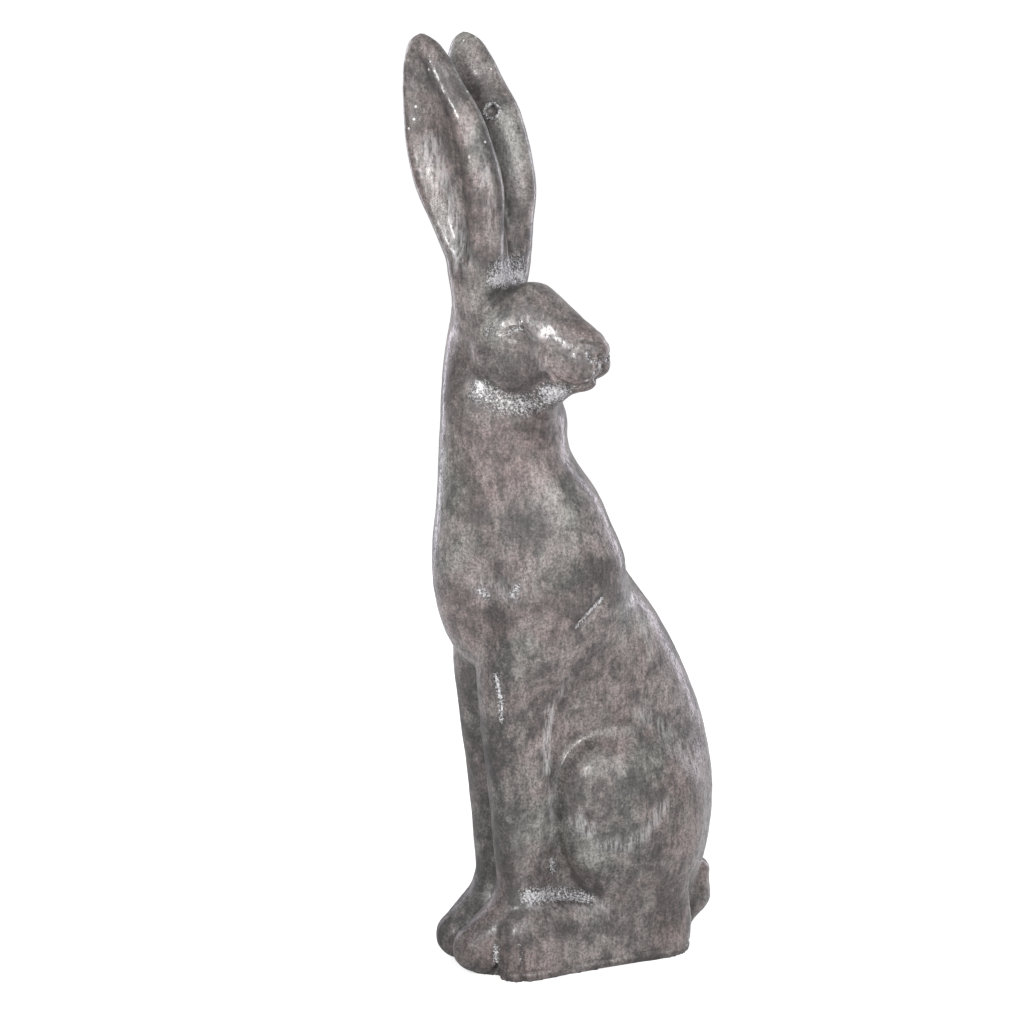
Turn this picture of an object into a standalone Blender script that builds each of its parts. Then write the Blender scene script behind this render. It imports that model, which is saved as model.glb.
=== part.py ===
"""Seated hare garden statue, one cement casting, modelled in metres with +Z up.

The hare sits upright facing -Y with its head turned back over its left shoulder (+X side).
Every form is a rounded solid given as a signed distance, blended into its neighbours, and the
skin of the whole is then drawn as one closed mesh. Proportions are shares of the statue's height.
"""
import bmesh
import bpy
import numpy as np

HEIGHT = 0.80              # ground to ear tips
GRID_STEP = 0.006          # spacing of the sampling grid
TRIANGLES = 9400           # facets kept on the finished skin
BASE_SNAP = 0.0015         # skin this close to the ground is laid flat on it

# Named shares of the height
HEAD_TURN = 128.0          # degrees the head is turned to the hare's left
HEAD_AT = (0.032, -0.092, 0.682)
HEAD_TOP_GAP = 0.029       # half the spacing of the ear roots
LEG_SPACING = 0.028        # front leg centre from the middle plane
FOOT_SPACING = 0.050       # hind toe centre from the middle plane
HAUNCH_SPACING = 0.050     # haunch centre from the middle plane

# Torso and neck: level, x, y, half width, half depth
TORSO = (
    (-0.030, 0.000, 0.048, 0.046, 0.060),
    (0.030, 0.000, 0.052, 0.050, 0.070),
    (0.090, 0.000, 0.057, 0.062, 0.091),
    (0.170, 0.000, 0.060, 0.068, 0.099),
    (0.240, 0.000, 0.049, 0.068, 0.100),
    (0.300, 0.000, 0.026, 0.068, 0.102),
    (0.370, 0.000, -0.012, 0.070, 0.104),
    (0.440, 0.000, -0.053, 0.071, 0.096),
    (0.510, 0.000, -0.071, 0.067, 0.089),
    (0.570, 0.000, -0.089, 0.060, 0.070),
    (0.605, 0.003, -0.091, 0.055, 0.068),
    (0.630, 0.002, -0.095, 0.051, 0.063),
    (0.670, -0.006, -0.102, 0.044, 0.048),
    (0.720, -0.004, -0.104, 0.032, 0.036),
    (0.750, 0.000, -0.108, 0.024, 0.026),
)

# Front leg: level, x, y, half width, half depth
FRONT_LEG = (
    (-0.030, LEG_SPACING - 0.002, -0.090, 0.026, 0.036),
    (0.020, LEG_SPACING - 0.001, -0.086, 0.027, 0.034),
    (0.070, LEG_SPACING, -0.080, 0.026, 0.028),
    (0.140, LEG_SPACING, -0.083, 0.026, 0.028),
    (0.210, LEG_SPACING, -0.089, 0.027, 0.029),
    (0.280, LEG_SPACING + 0.002, -0.092, 0.029, 0.035),
    (0.340, LEG_SPACING + 0.006, -0.084, 0.036, 0.048),
    (0.400, LEG_SPACING + 0.012, -0.066, 0.040, 0.062),
    (0.450, LEG_SPACING + 0.014, -0.054, 0.038, 0.064),
)

# Front paw joints: x, y, z, radius
PAW = (
    (LEG_SPACING, -0.084, 0.062, 0.027),
    (LEG_SPACING - 0.002, -0.107, 0.042, 0.028),
    (LEG_SPACING - 0.004, -0.132, 0.027, 0.0258),
)

# Hind foot from heel to toe: level along -Y, x, z, half width, half height
FOOT = (
    (-0.120, FOOT_SPACING - 0.008, 0.026, 0.004, 0.010),
    (-0.113, FOOT_SPACING - 0.007, 0.026, 0.014, 0.026),
    (-0.098, FOOT_SPACING - 0.005, 0.026, 0.022, 0.040),
    (-0.050, FOOT_SPACING - 0.004, 0.026, 0.026, 0.050),
    (0.030, FOOT_SPACING - 0.003, 0.024, 0.028, 0.052),
    (0.070, FOOT_SPACING - 0.001, 0.022, 0.029, 0.053),
    (0.100, FOOT_SPACING, 0.022, 0.027, 0.049),
    (0.118, FOOT_SPACING, 0.020, 0.018, 0.033),
    (0.125, FOOT_SPACING, 0.018, 0.008, 0.014),
)

# Tail joints: x, y, z, radius
TAIL = ((0.0, 0.122, 0.020, 0.018), (0.0, 0.138, 0.045, 0.021), (0.0, 0.146, 0.072, 0.015))

# Ear above its root: level, forward, outward, half breadth, half thickness
EAR = (
    (-0.060, 0.000, -0.012, 0.016, 0.018),
    (-0.030, 0.000, -0.006, 0.022, 0.023),
    (0.020, 0.002, 0.000, 0.029, 0.027),
    (0.060, -0.005, 0.003, 0.039, 0.027),
    (0.100, -0.0135, 0.006, 0.0495, 0.028),
    (0.140, -0.0225, 0.009, 0.0495, 0.027),
    (0.180, -0.031, 0.012, 0.043, 0.024),
    (0.210, -0.0405, 0.014, 0.033, 0.020),
    (0.235, -0.0465, 0.015, 0.0235, 0.016),
    (0.250, -0.050, 0.016, 0.014, 0.010),
    (0.258, -0.052, 0.016, 0.003, 0.003),
)

# Hollow of the ear, pressed in from its outer face: the same columns
EAR_HOLLOW = (
    (0.000, 0.000, 0.032, 0.004, 0.004),
    (0.030, -0.003, 0.030, 0.010, 0.008),
    (0.060, -0.010, 0.031, 0.019, 0.015),
    (0.100, -0.021, 0.036, 0.031, 0.020),
    (0.140, -0.032, 0.039, 0.036, 0.023),
    (0.180, -0.041, 0.038, 0.030, 0.020),
    (0.210, -0.050, 0.034, 0.018, 0.014),
    (0.235, -0.053, 0.032, 0.008, 0.008),
)

# Creases seen from the side: y, z, depth
ARM_CREASE = (
    (-0.006, 0.424, 0.0000),
    (-0.020, 0.410, 0.0045),
    (-0.038, 0.390, 0.0050),
    (-0.054, 0.372, 0.0000),
)
KNEE_FOLD = (
    (-0.046, 0.178, 0.0000),
    (-0.017, 0.150, 0.0016),
    (0.030, 0.150, 0.0016),
    (0.062, 0.178, 0.0000),
)
HAUNCH_FOLD = (
    (0.032, 0.280, 0.0000),
    (0.065, 0.260, 0.0024),
    (0.092, 0.232, 0.0024),
    (0.112, 0.196, 0.0000),
)

# Furrows in space: x, y, z, depth
BREAST_VALLEY = (
    (0.064, -0.112, 0.470, 0.000),
    (0.060, -0.122, 0.430, 0.004),
    (0.056, -0.124, 0.380, 0.004),
    (0.050, -0.112, 0.290, 0.000),
)
TOE_GAP = (
    (0.050, -0.118, 0.000, 0.010),
    (0.050, -0.112, 0.030, 0.010),
    (0.046, -0.096, 0.055, 0.000),
)


def smooth_step(x, low, high):
    """Ease from 0 at low to 1 at high."""
    t = np.clip((x - low) / (high - low), 0, 1)
    return t * t * (3 - 2 * t)


def union(a, b, blend):
    """Join two distances with a fillet of the given size."""
    h = np.maximum(blend - np.abs(a - b), 0.0) / blend
    return np.minimum(a, b) - h * h * blend / 4


def cut(a, b, blend):
    """Take b out of a and ease the rim."""
    return -union(-a, b, blend)


def tilt(angle_x=0.0, angle_y=0.0):
    """Local axes, as rows, after turning about X then Y (degrees)."""
    ax, ay = np.radians([angle_x, angle_y])
    about_x = np.array([[1, 0, 0], [0, np.cos(ax), -np.sin(ax)], [0, np.sin(ax), np.cos(ax)]])
    about_y = np.array([[np.cos(ay), 0, np.sin(ay)], [0, 1, 0], [-np.sin(ay), 0, np.cos(ay)]])
    return (about_y @ about_x).T


def ellipsoid(p, centre, radii, axes=None):
    """Distance to an ellipsoid."""
    q = p - np.array(centre)
    if axes is not None:
        q = q @ axes.T
    r = np.array(radii)
    scaled = np.sqrt(((q / r) ** 2).sum(-1))
    slope = np.sqrt(((q / r ** 2) ** 2).sum(-1))
    return scaled * (scaled - 1) / np.maximum(slope, 1e-6)


def round_cone(p, start, end):
    """Distance to a capsule between two (x, y, z, radius) joints."""
    a, b = np.array(start[:3]), np.array(end[:3])
    run = b - a
    t = np.clip(((p - a) @ run) / (run @ run), 0, 1)
    away = np.sqrt(((p - a - t[..., None] * run) ** 2).sum(-1))
    return away - (start[3] + (end[3] - start[3]) * t)


def limb(p, joints, blend=0.010):
    """Chain of round cones through the joints."""
    d = round_cone(p, joints[0], joints[1])
    for start, end in zip(joints[1:-1], joints[2:]):
        d = union(d, round_cone(p, start, end), blend)
    return d


def curve(level, knots, values):
    """Smooth curve through the values given at the knots."""
    slope = np.gradient(values, knots)
    fine = np.linspace(knots[0], knots[-1], 241)
    i = np.clip(np.searchsorted(knots, fine, side="right") - 1, 0, len(knots) - 2)
    h = knots[i + 1] - knots[i]
    s = (fine - knots[i]) / h
    eased = (
        (1 + 2 * s) * (1 - s) ** 2 * values[i]
        + s * (1 - s) ** 2 * h * slope[i]
        + s * s * (3 - 2 * s) * values[i + 1]
        + s * s * (s - 1) * h * slope[i + 1]
    )
    return np.interp(level, fine, eased)


def loft(q, stations, power=2.0, cap=0.010):
    """Distance to oval sections stacked along the third axis of q."""
    rows = np.array(stations, float)
    levels = rows[:, 0]
    z = q[..., 2]
    centre_a, centre_b, half_a, half_b = (curve(z, levels, rows[:, i]) for i in (1, 2, 3, 4))
    half_a = np.maximum(half_a, 1e-3)
    half_b = np.maximum(half_b, 1e-3)
    x = (q[..., 0] - centre_a) / half_a
    y = (q[..., 1] - centre_b) / half_b
    scaled = (np.abs(x) ** power + np.abs(y) ** power) ** (1 / power)
    slope = np.sqrt((x / half_a) ** 2 + (y / half_b) ** 2) / np.maximum(np.sqrt(x * x + y * y), 1e-6)
    side = (scaled - 1) / np.maximum(slope, 1e-6)
    ends = np.maximum(levels[0] - z, z - levels[-1])
    return cut(side, -ends, cap)


def furrow(p, path, width, sharp):
    """Depth of a furrow along a path whose last column is its depth."""
    pressed = np.zeros(len(p))
    for start, end in zip(path[:-1], path[1:]):
        a, b = np.array(start[:-1]), np.array(end[:-1])
        run = b - a
        t = np.clip(((p - a) @ run) / (run @ run), 0, 1)
        away = np.sqrt(((p - a - t[..., None] * run) ** 2).sum(-1))
        share = np.clip(1 - (away / width) ** 2, 0, 1) ** sharp
        pressed = np.maximum(pressed, share * (start[-1] + t * (end[-1] - start[-1])))
    return pressed


def side_crease(m, path, width, sharp=2.5):
    """Depth of a furrow drawn on the outer side of the body."""
    return furrow(m[..., 1:], path, width, sharp) * smooth_step(m[..., 0], 0.030, 0.050)


def mirrored(p, side):
    """Points with the right half of the body (side -1) folded onto the left."""
    return p * np.array([side, 1, 1])


def head_frame(p):
    """Points as forward, right and up from the middle of the head."""
    turn = np.radians(HEAD_TURN - 90)
    forward = (np.cos(turn), np.sin(turn), 0.0)
    right = (np.sin(turn), -np.cos(turn), 0.0)
    return (p - np.array(HEAD_AT)) @ np.array([forward, right, (0.0, 0.0, 1.0)]).T


def torso(p):
    """Rump, back, breast, shoulders and neck."""
    d = loft(p, TORSO, cap=0.030)
    d = union(d, ellipsoid(p, (0, -0.096, 0.425), (0.056, 0.068, 0.100)), 0.040)
    d = union(d, ellipsoid(p, (0, -0.036, 0.200), (0.047, 0.058, 0.230)), 0.020)
    for side in (1, -1):
        shoulder = ellipsoid(mirrored(p, side), (0.043, -0.036, 0.446), (0.042, 0.058, 0.105), tilt(14))
        d = union(d, shoulder, 0.022)
    return d


def front_legs(p):
    """The pair of front legs with their paws, closed against each other."""
    legs = None
    for side in (1, -1):
        m = mirrored(p, side)
        leg = union(loft(m, FRONT_LEG, power=2.3, cap=0.030), limb(m, PAW), 0.020)
        legs = leg if legs is None else union(legs, leg, 0.004)
    return legs


def hind_leg(p):
    """Haunch, thigh and the long hind foot of the left side."""
    haunch = ellipsoid(p, (HAUNCH_SPACING, 0.037, 0.160), (0.043, 0.082, 0.104), tilt(12))
    thigh = ellipsoid(p, (HAUNCH_SPACING + 0.001, 0.013, 0.198), (0.045, 0.064, 0.064), tilt(-6))
    along = np.stack([p[..., 0], p[..., 2], -p[..., 1]], -1)
    foot = loft(along, FOOT, power=2.15, cap=0.025)
    merge = 0.010 + 0.022 * smooth_step(p[..., 1], -0.02, 0.06)
    return union(union(haunch, thigh, 0.012), foot, merge)


def head(q):
    """Skull, temples, brow, jaw, lips, chin, throat and nose in the head's own axes."""
    d = ellipsoid(q, (-0.002, 0, -0.002), (0.047, 0.046, 0.054))
    d = union(d, round_cone(q, (0.022, 0, 0.031, 0.034), (0.084, 0, -0.001, 0.0225)), 0.020)
    d = union(d, round_cone(q, (0.020, 0, -0.008, 0.038), (0.062, 0, -0.016, 0.0295)), 0.020)
    for side in (1, -1):
        temple = ellipsoid(q, (-0.003, side * 0.014, 0.012), (0.040, 0.034, 0.046))
        lip = ellipsoid(q, (0.079, side * 0.0115, -0.0170), (0.0268, 0.0155, 0.0195))
        eye = ellipsoid(q, (0.026, side * 0.0325, 0.017), (0.014, 0.010, 0.010), tilt(0, 18))
        d = union(union(union(d, temple, 0.006), lip, 0.006), eye, 0.004)
    d = union(d, ellipsoid(q, (0.076, 0, -0.0345), (0.020, 0.013, 0.0110)), 0.004)
    d = union(d, round_cone(q, (0.074, 0, -0.034, 0.010), (0.036, 0, -0.046, 0.022)), 0.006)
    return union(d, ellipsoid(q, (0.0975, 0, -0.0010), (0.0117, 0.0130, 0.0100)), 0.006)


def ears(q):
    """The two upright ears, hollowed on their outer faces and joined by a web at the root."""
    root = np.array([-0.030, 0.0, 0.060])
    d = ellipsoid(q - root, (0, 0, 0.020), (0.024, 0.012, 0.075))
    for side in (1, -1):
        r = (q - root) * np.array([1, side, 1]) - np.array([0, HEAD_TOP_GAP, 0])
        d = union(d, cut(loft(r, EAR, cap=0.006), loft(r, EAR_HOLLOW, cap=0.006), 0.008), 0.008)
    return d


def nape(p):
    """The back of the neck running up into both ear roots."""
    fork = (0.010, -0.112, 0.710, 0.030)
    d = limb(p, ((0.000, -0.104, 0.655, 0.040), fork))
    for tip in ((0.026, -0.131, 0.755, 0.023), (-0.006, -0.092, 0.755, 0.023)):
        d = union(d, limb(p, (fork, tip)), 0.010)
    return d


def figure(p):
    """Signed distance to the whole hare, flat on the ground, in shares of its height."""
    merge = 0.010 + 0.032 * smooth_step(p[..., 2], 0.06, 0.24) * smooth_step(p[..., 1], -0.11, -0.06)
    d = union(torso(p), front_legs(p), merge)
    for side in (1, -1):
        m = mirrored(p, side)
        d = union(d, hind_leg(m), 0.009 + 0.022 * smooth_step(p[..., 1], -0.03, 0.11))
        d = d + furrow(m, BREAST_VALLEY, 0.026, 2.0) + furrow(m, TOE_GAP, 0.010, 2.5)
        d = d + side_crease(m, ARM_CREASE, 0.010) + side_crease(m, KNEE_FOLD, 0.022, 2.0)
        d = d + side_crease(m, HAUNCH_FOLD, 0.016, 2.0)
    d = union(d, limb(p, TAIL), 0.006)
    q = head_frame(p)
    d = union(d, union(nape(p), ears(q), 0.014), 0.014)
    throat = 0.004 + 0.030 * smooth_step(q[..., 0], 0.005, 0.045) * smooth_step(-q[..., 2], 0.02, 0.05)
    d = union(d, head(q), throat)
    return np.maximum(d, -p[..., 2])


def single_sheet(case):
    """True when one smooth sheet of skin passes through a grid cell with these inside corners."""
    inside = [bool(case >> i & 1) for i in range(8)]
    for state in (True, False):
        wanted = [i for i in range(8) if inside[i] == state]
        if not wanted:
            continue
        reached = {wanted[0]}
        for _ in range(8):
            reached |= {i ^ bit for i in reached for bit in (1, 2, 4) if inside[i ^ bit] == state}
        if len(reached) != len(wanted):
            return False
    for axis in (1, 2, 4):
        u, v = [bit for bit in (1, 2, 4) if bit != axis]
        for first in (0, axis):
            ring = [inside[first], inside[first ^ u], inside[first ^ u ^ v], inside[first ^ v]]
            if ring[0] == ring[2] and ring[1] == ring[3] and ring[0] != ring[1]:
                return False
    return True


def corner(values, index):
    """The grid values at one of the eight corners of every cell."""
    cuts = tuple(slice(index >> axis & 1, values.shape[axis] - 1 + (index >> axis & 1)) for axis in range(3))
    return values[cuts]


def sampled(low, high, step, field):
    """Field values on a grid, worked out closely only near the skin."""
    coarse = 4
    counts = [int(np.ceil((high[i] - low[i]) / step / coarse)) * coarse + 1 for i in range(3)]
    lines = [low[i] + step * np.arange(counts[i]) for i in range(3)]
    grid = np.stack(np.meshgrid(*lines, indexing="ij"), -1)
    rough = field(grid[::coarse, ::coarse, ::coarse].reshape(-1, 3))
    rough = rough.reshape([(n - 1) // coarse + 1 for n in counts])
    values = rough
    for axis in range(3):
        values = np.repeat(values, coarse, axis)
    values = values[tuple(slice(0, n) for n in counts)].copy()
    near = np.abs(values) < 1.9 * coarse * step
    values[near] = field(grid[near])
    return values


def one_sheet_everywhere(values, step):
    """Fill the few cells where two sheets of skin would meet, so the mesh stays closed and simple."""
    simple = np.array([single_sheet(case) for case in range(256)])
    for _ in range(40):
        case = sum((corner(values, i) < 0).astype(int) << i for i in range(8))
        cells = np.argwhere(~simple[case])
        if not len(cells):
            return values
        for i in range(8):
            spot = tuple(cells[:, axis] + (i >> axis & 1) for axis in range(3))
            values[spot] = np.minimum(values[spot], -0.05 * step)
    raise RuntimeError("the skin could not be made single")


def skin(field, low, high, step):
    """Vertices and quads of the zero surface, one vertex to each grid cell it crosses."""
    values = one_sheet_everywhere(sampled(low, high, step, field), step)
    inside = values < 0
    filled = sum(corner(inside, i).astype(int) for i in range(8))
    active = (filled > 0) & (filled < 8)
    cells = np.argwhere(active)
    number = np.full(active.shape, -1)
    number[active] = np.arange(len(cells))
    total = np.zeros((len(cells), 3))
    count = np.zeros(len(cells))
    for axis in range(3):
        for i in range(8):
            if i >> axis & 1:
                continue
            here = np.array([i & 1, i >> 1 & 1, i >> 2 & 1])
            there = here + np.eye(3, dtype=int)[axis]
            a = values[tuple((cells + here).T)]
            b = values[tuple((cells + there).T)]
            crossed = (a < 0) != (b < 0)
            spot = np.tile(here.astype(float), (len(cells), 1))
            spot[:, axis] += np.where(crossed, a / np.where(a == b, 1, a - b), 0)
            total[crossed] += spot[crossed]
            count[crossed] += 1
    points = (cells + total / count[:, None]) * step + low
    quads = []
    for axis in range(3):
        u, v = (axis + 1) % 3, (axis + 2) % 3
        inner = [slice(1, -1)] * 3
        first, second = list(inner), list(inner)
        first[axis], second[axis] = slice(0, -1), slice(1, None)
        a, b = inside[tuple(first)], inside[tuple(second)]
        edges = np.argwhere(a != b)
        outward = a[a != b]
        edges[:, u] += 1
        edges[:, v] += 1
        ring = []
        for du, dv in ((1, 1), (0, 1), (0, 0), (1, 0)):
            cell = edges.copy()
            cell[:, u] -= du
            cell[:, v] -= dv
            ring.append(number[tuple(cell.T)])
        ring = np.stack(ring, 1)
        ring[~outward] = ring[~outward][:, ::-1]
        quads.append(ring)
    return points, np.concatenate(quads)


def field_slope(points, field, reach):
    """Slope of the field at the points, from differences over a small reach."""
    sides = [field(points + reach * e) - field(points - reach * e) for e in np.eye(3)]
    return np.stack(sides, 1) / (2 * reach)


def drawn_to_surface(points, quads, field, step, passes=5):
    """Even out the vertices and slide them onto the surface, never a whole cell away."""
    start = points.copy()
    here = quads.ravel()
    there = np.roll(quads, -1, 1).ravel()
    links = np.bincount(here, minlength=len(points)) + np.bincount(there, minlength=len(points))
    for turn in range(passes):
        slope = field_slope(points, field, 0.15 * step)
        size = np.maximum((slope ** 2).sum(1), 0.3)[:, None]
        pull = -field(points)[:, None] / size * slope
        if turn < passes - 1:
            around = np.empty_like(points)
            for axis in range(3):
                along = points[:, axis]
                total = np.bincount(here, along[there], len(points)) + np.bincount(there, along[here], len(points))
                around[:, axis] = total / links
            spread = 0.6 * (around - points)
            pull += spread - (spread * slope).sum(1)[:, None] / size * slope
        points = points + pull
        points = start + np.clip(points - start, -0.9 * step, 0.9 * step)
    return points


def statue_mesh():
    """The decimated skin of the hare in metres, standing on z = 0 and centred on the origin."""
    step = GRID_STEP / HEIGHT
    low = np.array([-0.115, -0.215, -2.5 * step])
    high = np.array([0.145, 0.180, 1.02])
    points, quads = skin(figure, low, high, step)
    points = drawn_to_surface(points, quads, figure, step)
    points[:, 2] = np.where(points[:, 2] < BASE_SNAP / HEIGHT, 0.0, points[:, 2])
    points *= HEIGHT / points[:, 2].max()
    mesh = bpy.data.meshes.new("hare_skin")
    mesh.from_pydata(points.tolist(), [], quads.tolist())
    mesh.validate()
    return mesh


def decimated(mesh, triangles):
    """The same skin in fewer facets."""
    work = bpy.data.objects.new("hare_fine", mesh)
    bpy.context.scene.collection.objects.link(work)
    shape = bmesh.new()
    shape.from_mesh(mesh)
    bmesh.ops.triangulate(shape, faces=shape.faces)
    shape.to_mesh(mesh)
    shape.free()
    reduce = work.modifiers.new("fewer facets", "DECIMATE")
    reduce.ratio = triangles / len(mesh.polygons)
    result = bpy.data.meshes.new_from_object(work.evaluated_get(bpy.context.evaluated_depsgraph_get()))
    bpy.data.objects.remove(work)
    return result


def cement():
    """Waxed grey-brown cement."""
    material = bpy.data.materials.new("waxed_cement")
    material.use_nodes = True
    shader = material.node_tree.nodes["Principled BSDF"]
    shader.inputs["Base Color"].default_value = (0.205, 0.181, 0.166, 1.0)
    shader.inputs["Roughness"].default_value = 0.42
    shader.inputs["Metallic"].default_value = 0.0
    material.diffuse_color = (0.205, 0.181, 0.166, 1.0)
    return material


def settle(mesh):
    """Lay the base flat on z = 0, centre the footprint box on the origin and set the exact height."""
    count = len(mesh.vertices)
    flat = np.empty(count * 3)
    mesh.vertices.foreach_get("co", flat)
    points = flat.reshape(-1, 3)
    points[:, 2] = np.where(points[:, 2] < BASE_SNAP, 0.0, points[:, 2])
    points[:, 2] *= HEIGHT / points[:, 2].max()
    points[:, :2] -= (points[:, :2].min(0) + points[:, :2].max(0)) / 2
    mesh.vertices.foreach_set("co", points.ravel())
    mesh.update()


def main():
    for old in list(bpy.data.objects):
        bpy.data.objects.remove(old)
    mesh = decimated(statue_mesh(), TRIANGLES)
    settle(mesh)
    mesh.name = "rabbit_statue"
    mesh.materials.clear()
    mesh.materials.append(cement())
    statue = bpy.data.objects.new("rabbit_statue", mesh)
    bpy.context.scene.collection.objects.link(statue)


if __name__ == "__main__":
    main()
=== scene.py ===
"""Seated hare garden statue: fine skin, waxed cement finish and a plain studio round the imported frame.

The hare sits upright facing -Y with its head turned back over its left shoulder (+X side).
Forms are rounded solids given as signed distances in shares of the statue's height, the same as
in the solid part. The finer lines of face, toes, ears and creases are carved on top.
"""

import bmesh
import bpy
import numpy as np
from bpy.props import FloatProperty, FloatVectorProperty, PointerProperty
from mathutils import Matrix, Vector


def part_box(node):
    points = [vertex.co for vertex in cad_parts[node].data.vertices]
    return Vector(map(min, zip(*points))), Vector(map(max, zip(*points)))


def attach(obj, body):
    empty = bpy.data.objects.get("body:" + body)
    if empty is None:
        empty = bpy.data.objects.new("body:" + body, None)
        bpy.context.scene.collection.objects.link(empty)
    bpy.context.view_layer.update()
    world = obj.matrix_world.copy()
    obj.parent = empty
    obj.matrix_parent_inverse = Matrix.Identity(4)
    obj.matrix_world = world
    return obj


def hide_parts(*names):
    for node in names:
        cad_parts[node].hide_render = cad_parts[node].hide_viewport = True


bl_info = {
    "name": "Hare garden statue",
    "version": (1, 0, 0),
    "blender": (4, 5, 0),
    "location": "3D View > Sidebar > Hare",
    "description": "Makes a seated cement hare and a plain studio for it",
    "category": "Object",
}

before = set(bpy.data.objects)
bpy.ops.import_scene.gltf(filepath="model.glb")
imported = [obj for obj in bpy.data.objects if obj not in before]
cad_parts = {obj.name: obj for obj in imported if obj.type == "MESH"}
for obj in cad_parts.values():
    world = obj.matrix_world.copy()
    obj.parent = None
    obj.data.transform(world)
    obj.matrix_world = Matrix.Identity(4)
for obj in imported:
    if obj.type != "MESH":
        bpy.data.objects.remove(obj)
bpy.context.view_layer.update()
LOW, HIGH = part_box("rabbit_statue")
HEIGHT = HIGH.z - LOW.z

# Named shares of the height
HEAD_TURN = 128.0          # degrees the head is turned to the hare's left
HEAD_AT = (0.032, -0.092, 0.682)
HEAD_TOP_GAP = 0.029       # half the spacing of the ear roots
LEG_SPACING = 0.028        # front leg centre from the middle plane
FOOT_SPACING = 0.050       # hind toe centre from the middle plane
HAUNCH_SPACING = 0.050     # haunch centre from the middle plane

# Torso and neck: level, x, y, half width, half depth
TORSO = (
    (-0.030, 0.000, 0.048, 0.046, 0.060),
    (0.030, 0.000, 0.052, 0.050, 0.070),
    (0.090, 0.000, 0.057, 0.062, 0.091),
    (0.170, 0.000, 0.060, 0.068, 0.099),
    (0.240, 0.000, 0.049, 0.068, 0.100),
    (0.300, 0.000, 0.026, 0.068, 0.102),
    (0.370, 0.000, -0.012, 0.070, 0.104),
    (0.440, 0.000, -0.053, 0.071, 0.096),
    (0.510, 0.000, -0.071, 0.067, 0.089),
    (0.570, 0.000, -0.089, 0.060, 0.070),
    (0.605, 0.003, -0.091, 0.055, 0.068),
    (0.630, 0.002, -0.095, 0.051, 0.063),
    (0.670, -0.006, -0.102, 0.044, 0.048),
    (0.720, -0.004, -0.104, 0.032, 0.036),
    (0.750, 0.000, -0.108, 0.024, 0.026),
)

# Front leg: level, x, y, half width, half depth
FRONT_LEG = (
    (-0.030, LEG_SPACING - 0.002, -0.090, 0.026, 0.036),
    (0.020, LEG_SPACING - 0.001, -0.086, 0.027, 0.034),
    (0.070, LEG_SPACING, -0.080, 0.026, 0.028),
    (0.140, LEG_SPACING, -0.083, 0.026, 0.028),
    (0.210, LEG_SPACING, -0.089, 0.027, 0.029),
    (0.280, LEG_SPACING + 0.002, -0.092, 0.029, 0.035),
    (0.340, LEG_SPACING + 0.006, -0.084, 0.036, 0.048),
    (0.400, LEG_SPACING + 0.012, -0.066, 0.040, 0.062),
    (0.450, LEG_SPACING + 0.014, -0.054, 0.038, 0.064),
)

# Front paw joints: x, y, z, radius
PAW = (
    (LEG_SPACING, -0.084, 0.062, 0.027),
    (LEG_SPACING - 0.002, -0.107, 0.042, 0.028),
    (LEG_SPACING - 0.004, -0.132, 0.027, 0.0258),
)

# Hind foot from heel to toe: level along -Y, x, z, half width, half height
FOOT = (
    (-0.120, FOOT_SPACING - 0.008, 0.026, 0.004, 0.010),
    (-0.113, FOOT_SPACING - 0.007, 0.026, 0.014, 0.026),
    (-0.098, FOOT_SPACING - 0.005, 0.026, 0.022, 0.040),
    (-0.050, FOOT_SPACING - 0.004, 0.026, 0.026, 0.050),
    (0.030, FOOT_SPACING - 0.003, 0.024, 0.028, 0.052),
    (0.070, FOOT_SPACING - 0.001, 0.022, 0.029, 0.053),
    (0.100, FOOT_SPACING, 0.022, 0.027, 0.049),
    (0.118, FOOT_SPACING, 0.020, 0.018, 0.033),
    (0.125, FOOT_SPACING, 0.018, 0.008, 0.014),
)

# Tail joints: x, y, z, radius
TAIL = ((0.0, 0.122, 0.020, 0.018), (0.0, 0.138, 0.045, 0.021), (0.0, 0.146, 0.072, 0.015))

# Ear above its root: level, forward, outward, half breadth, half thickness
EAR = (
    (-0.060, 0.000, -0.012, 0.016, 0.018),
    (-0.030, 0.000, -0.006, 0.022, 0.023),
    (0.020, 0.002, 0.000, 0.029, 0.027),
    (0.060, -0.005, 0.003, 0.039, 0.027),
    (0.100, -0.0135, 0.006, 0.0495, 0.028),
    (0.140, -0.0225, 0.009, 0.0495, 0.027),
    (0.180, -0.031, 0.012, 0.043, 0.024),
    (0.210, -0.0405, 0.014, 0.033, 0.020),
    (0.235, -0.0465, 0.015, 0.0235, 0.016),
    (0.250, -0.050, 0.016, 0.014, 0.010),
    (0.258, -0.052, 0.016, 0.003, 0.003),
)

# Hollow of the ear, pressed in from its outer face: the same columns
EAR_HOLLOW = (
    (0.000, 0.000, 0.032, 0.004, 0.004),
    (0.030, -0.003, 0.030, 0.010, 0.008),
    (0.060, -0.010, 0.031, 0.019, 0.015),
    (0.100, -0.021, 0.036, 0.031, 0.020),
    (0.140, -0.032, 0.039, 0.036, 0.023),
    (0.180, -0.041, 0.038, 0.030, 0.020),
    (0.210, -0.050, 0.034, 0.018, 0.014),
    (0.235, -0.053, 0.032, 0.008, 0.008),
)

# Creases seen from the side: y, z, depth
ARM_CREASE = (
    (-0.006, 0.424, 0.0000), (-0.020, 0.410, 0.0045), (-0.038, 0.390, 0.0050), (-0.054, 0.372, 0.0000),
)
KNEE_FOLD = (
    (-0.046, 0.178, 0.0000), (-0.017, 0.150, 0.0016), (0.030, 0.150, 0.0016), (0.062, 0.178, 0.0000),
)
HAUNCH_FOLD = (
    (0.032, 0.280, 0.0000), (0.065, 0.260, 0.0024), (0.092, 0.232, 0.0024), (0.112, 0.196, 0.0000),
)

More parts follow.
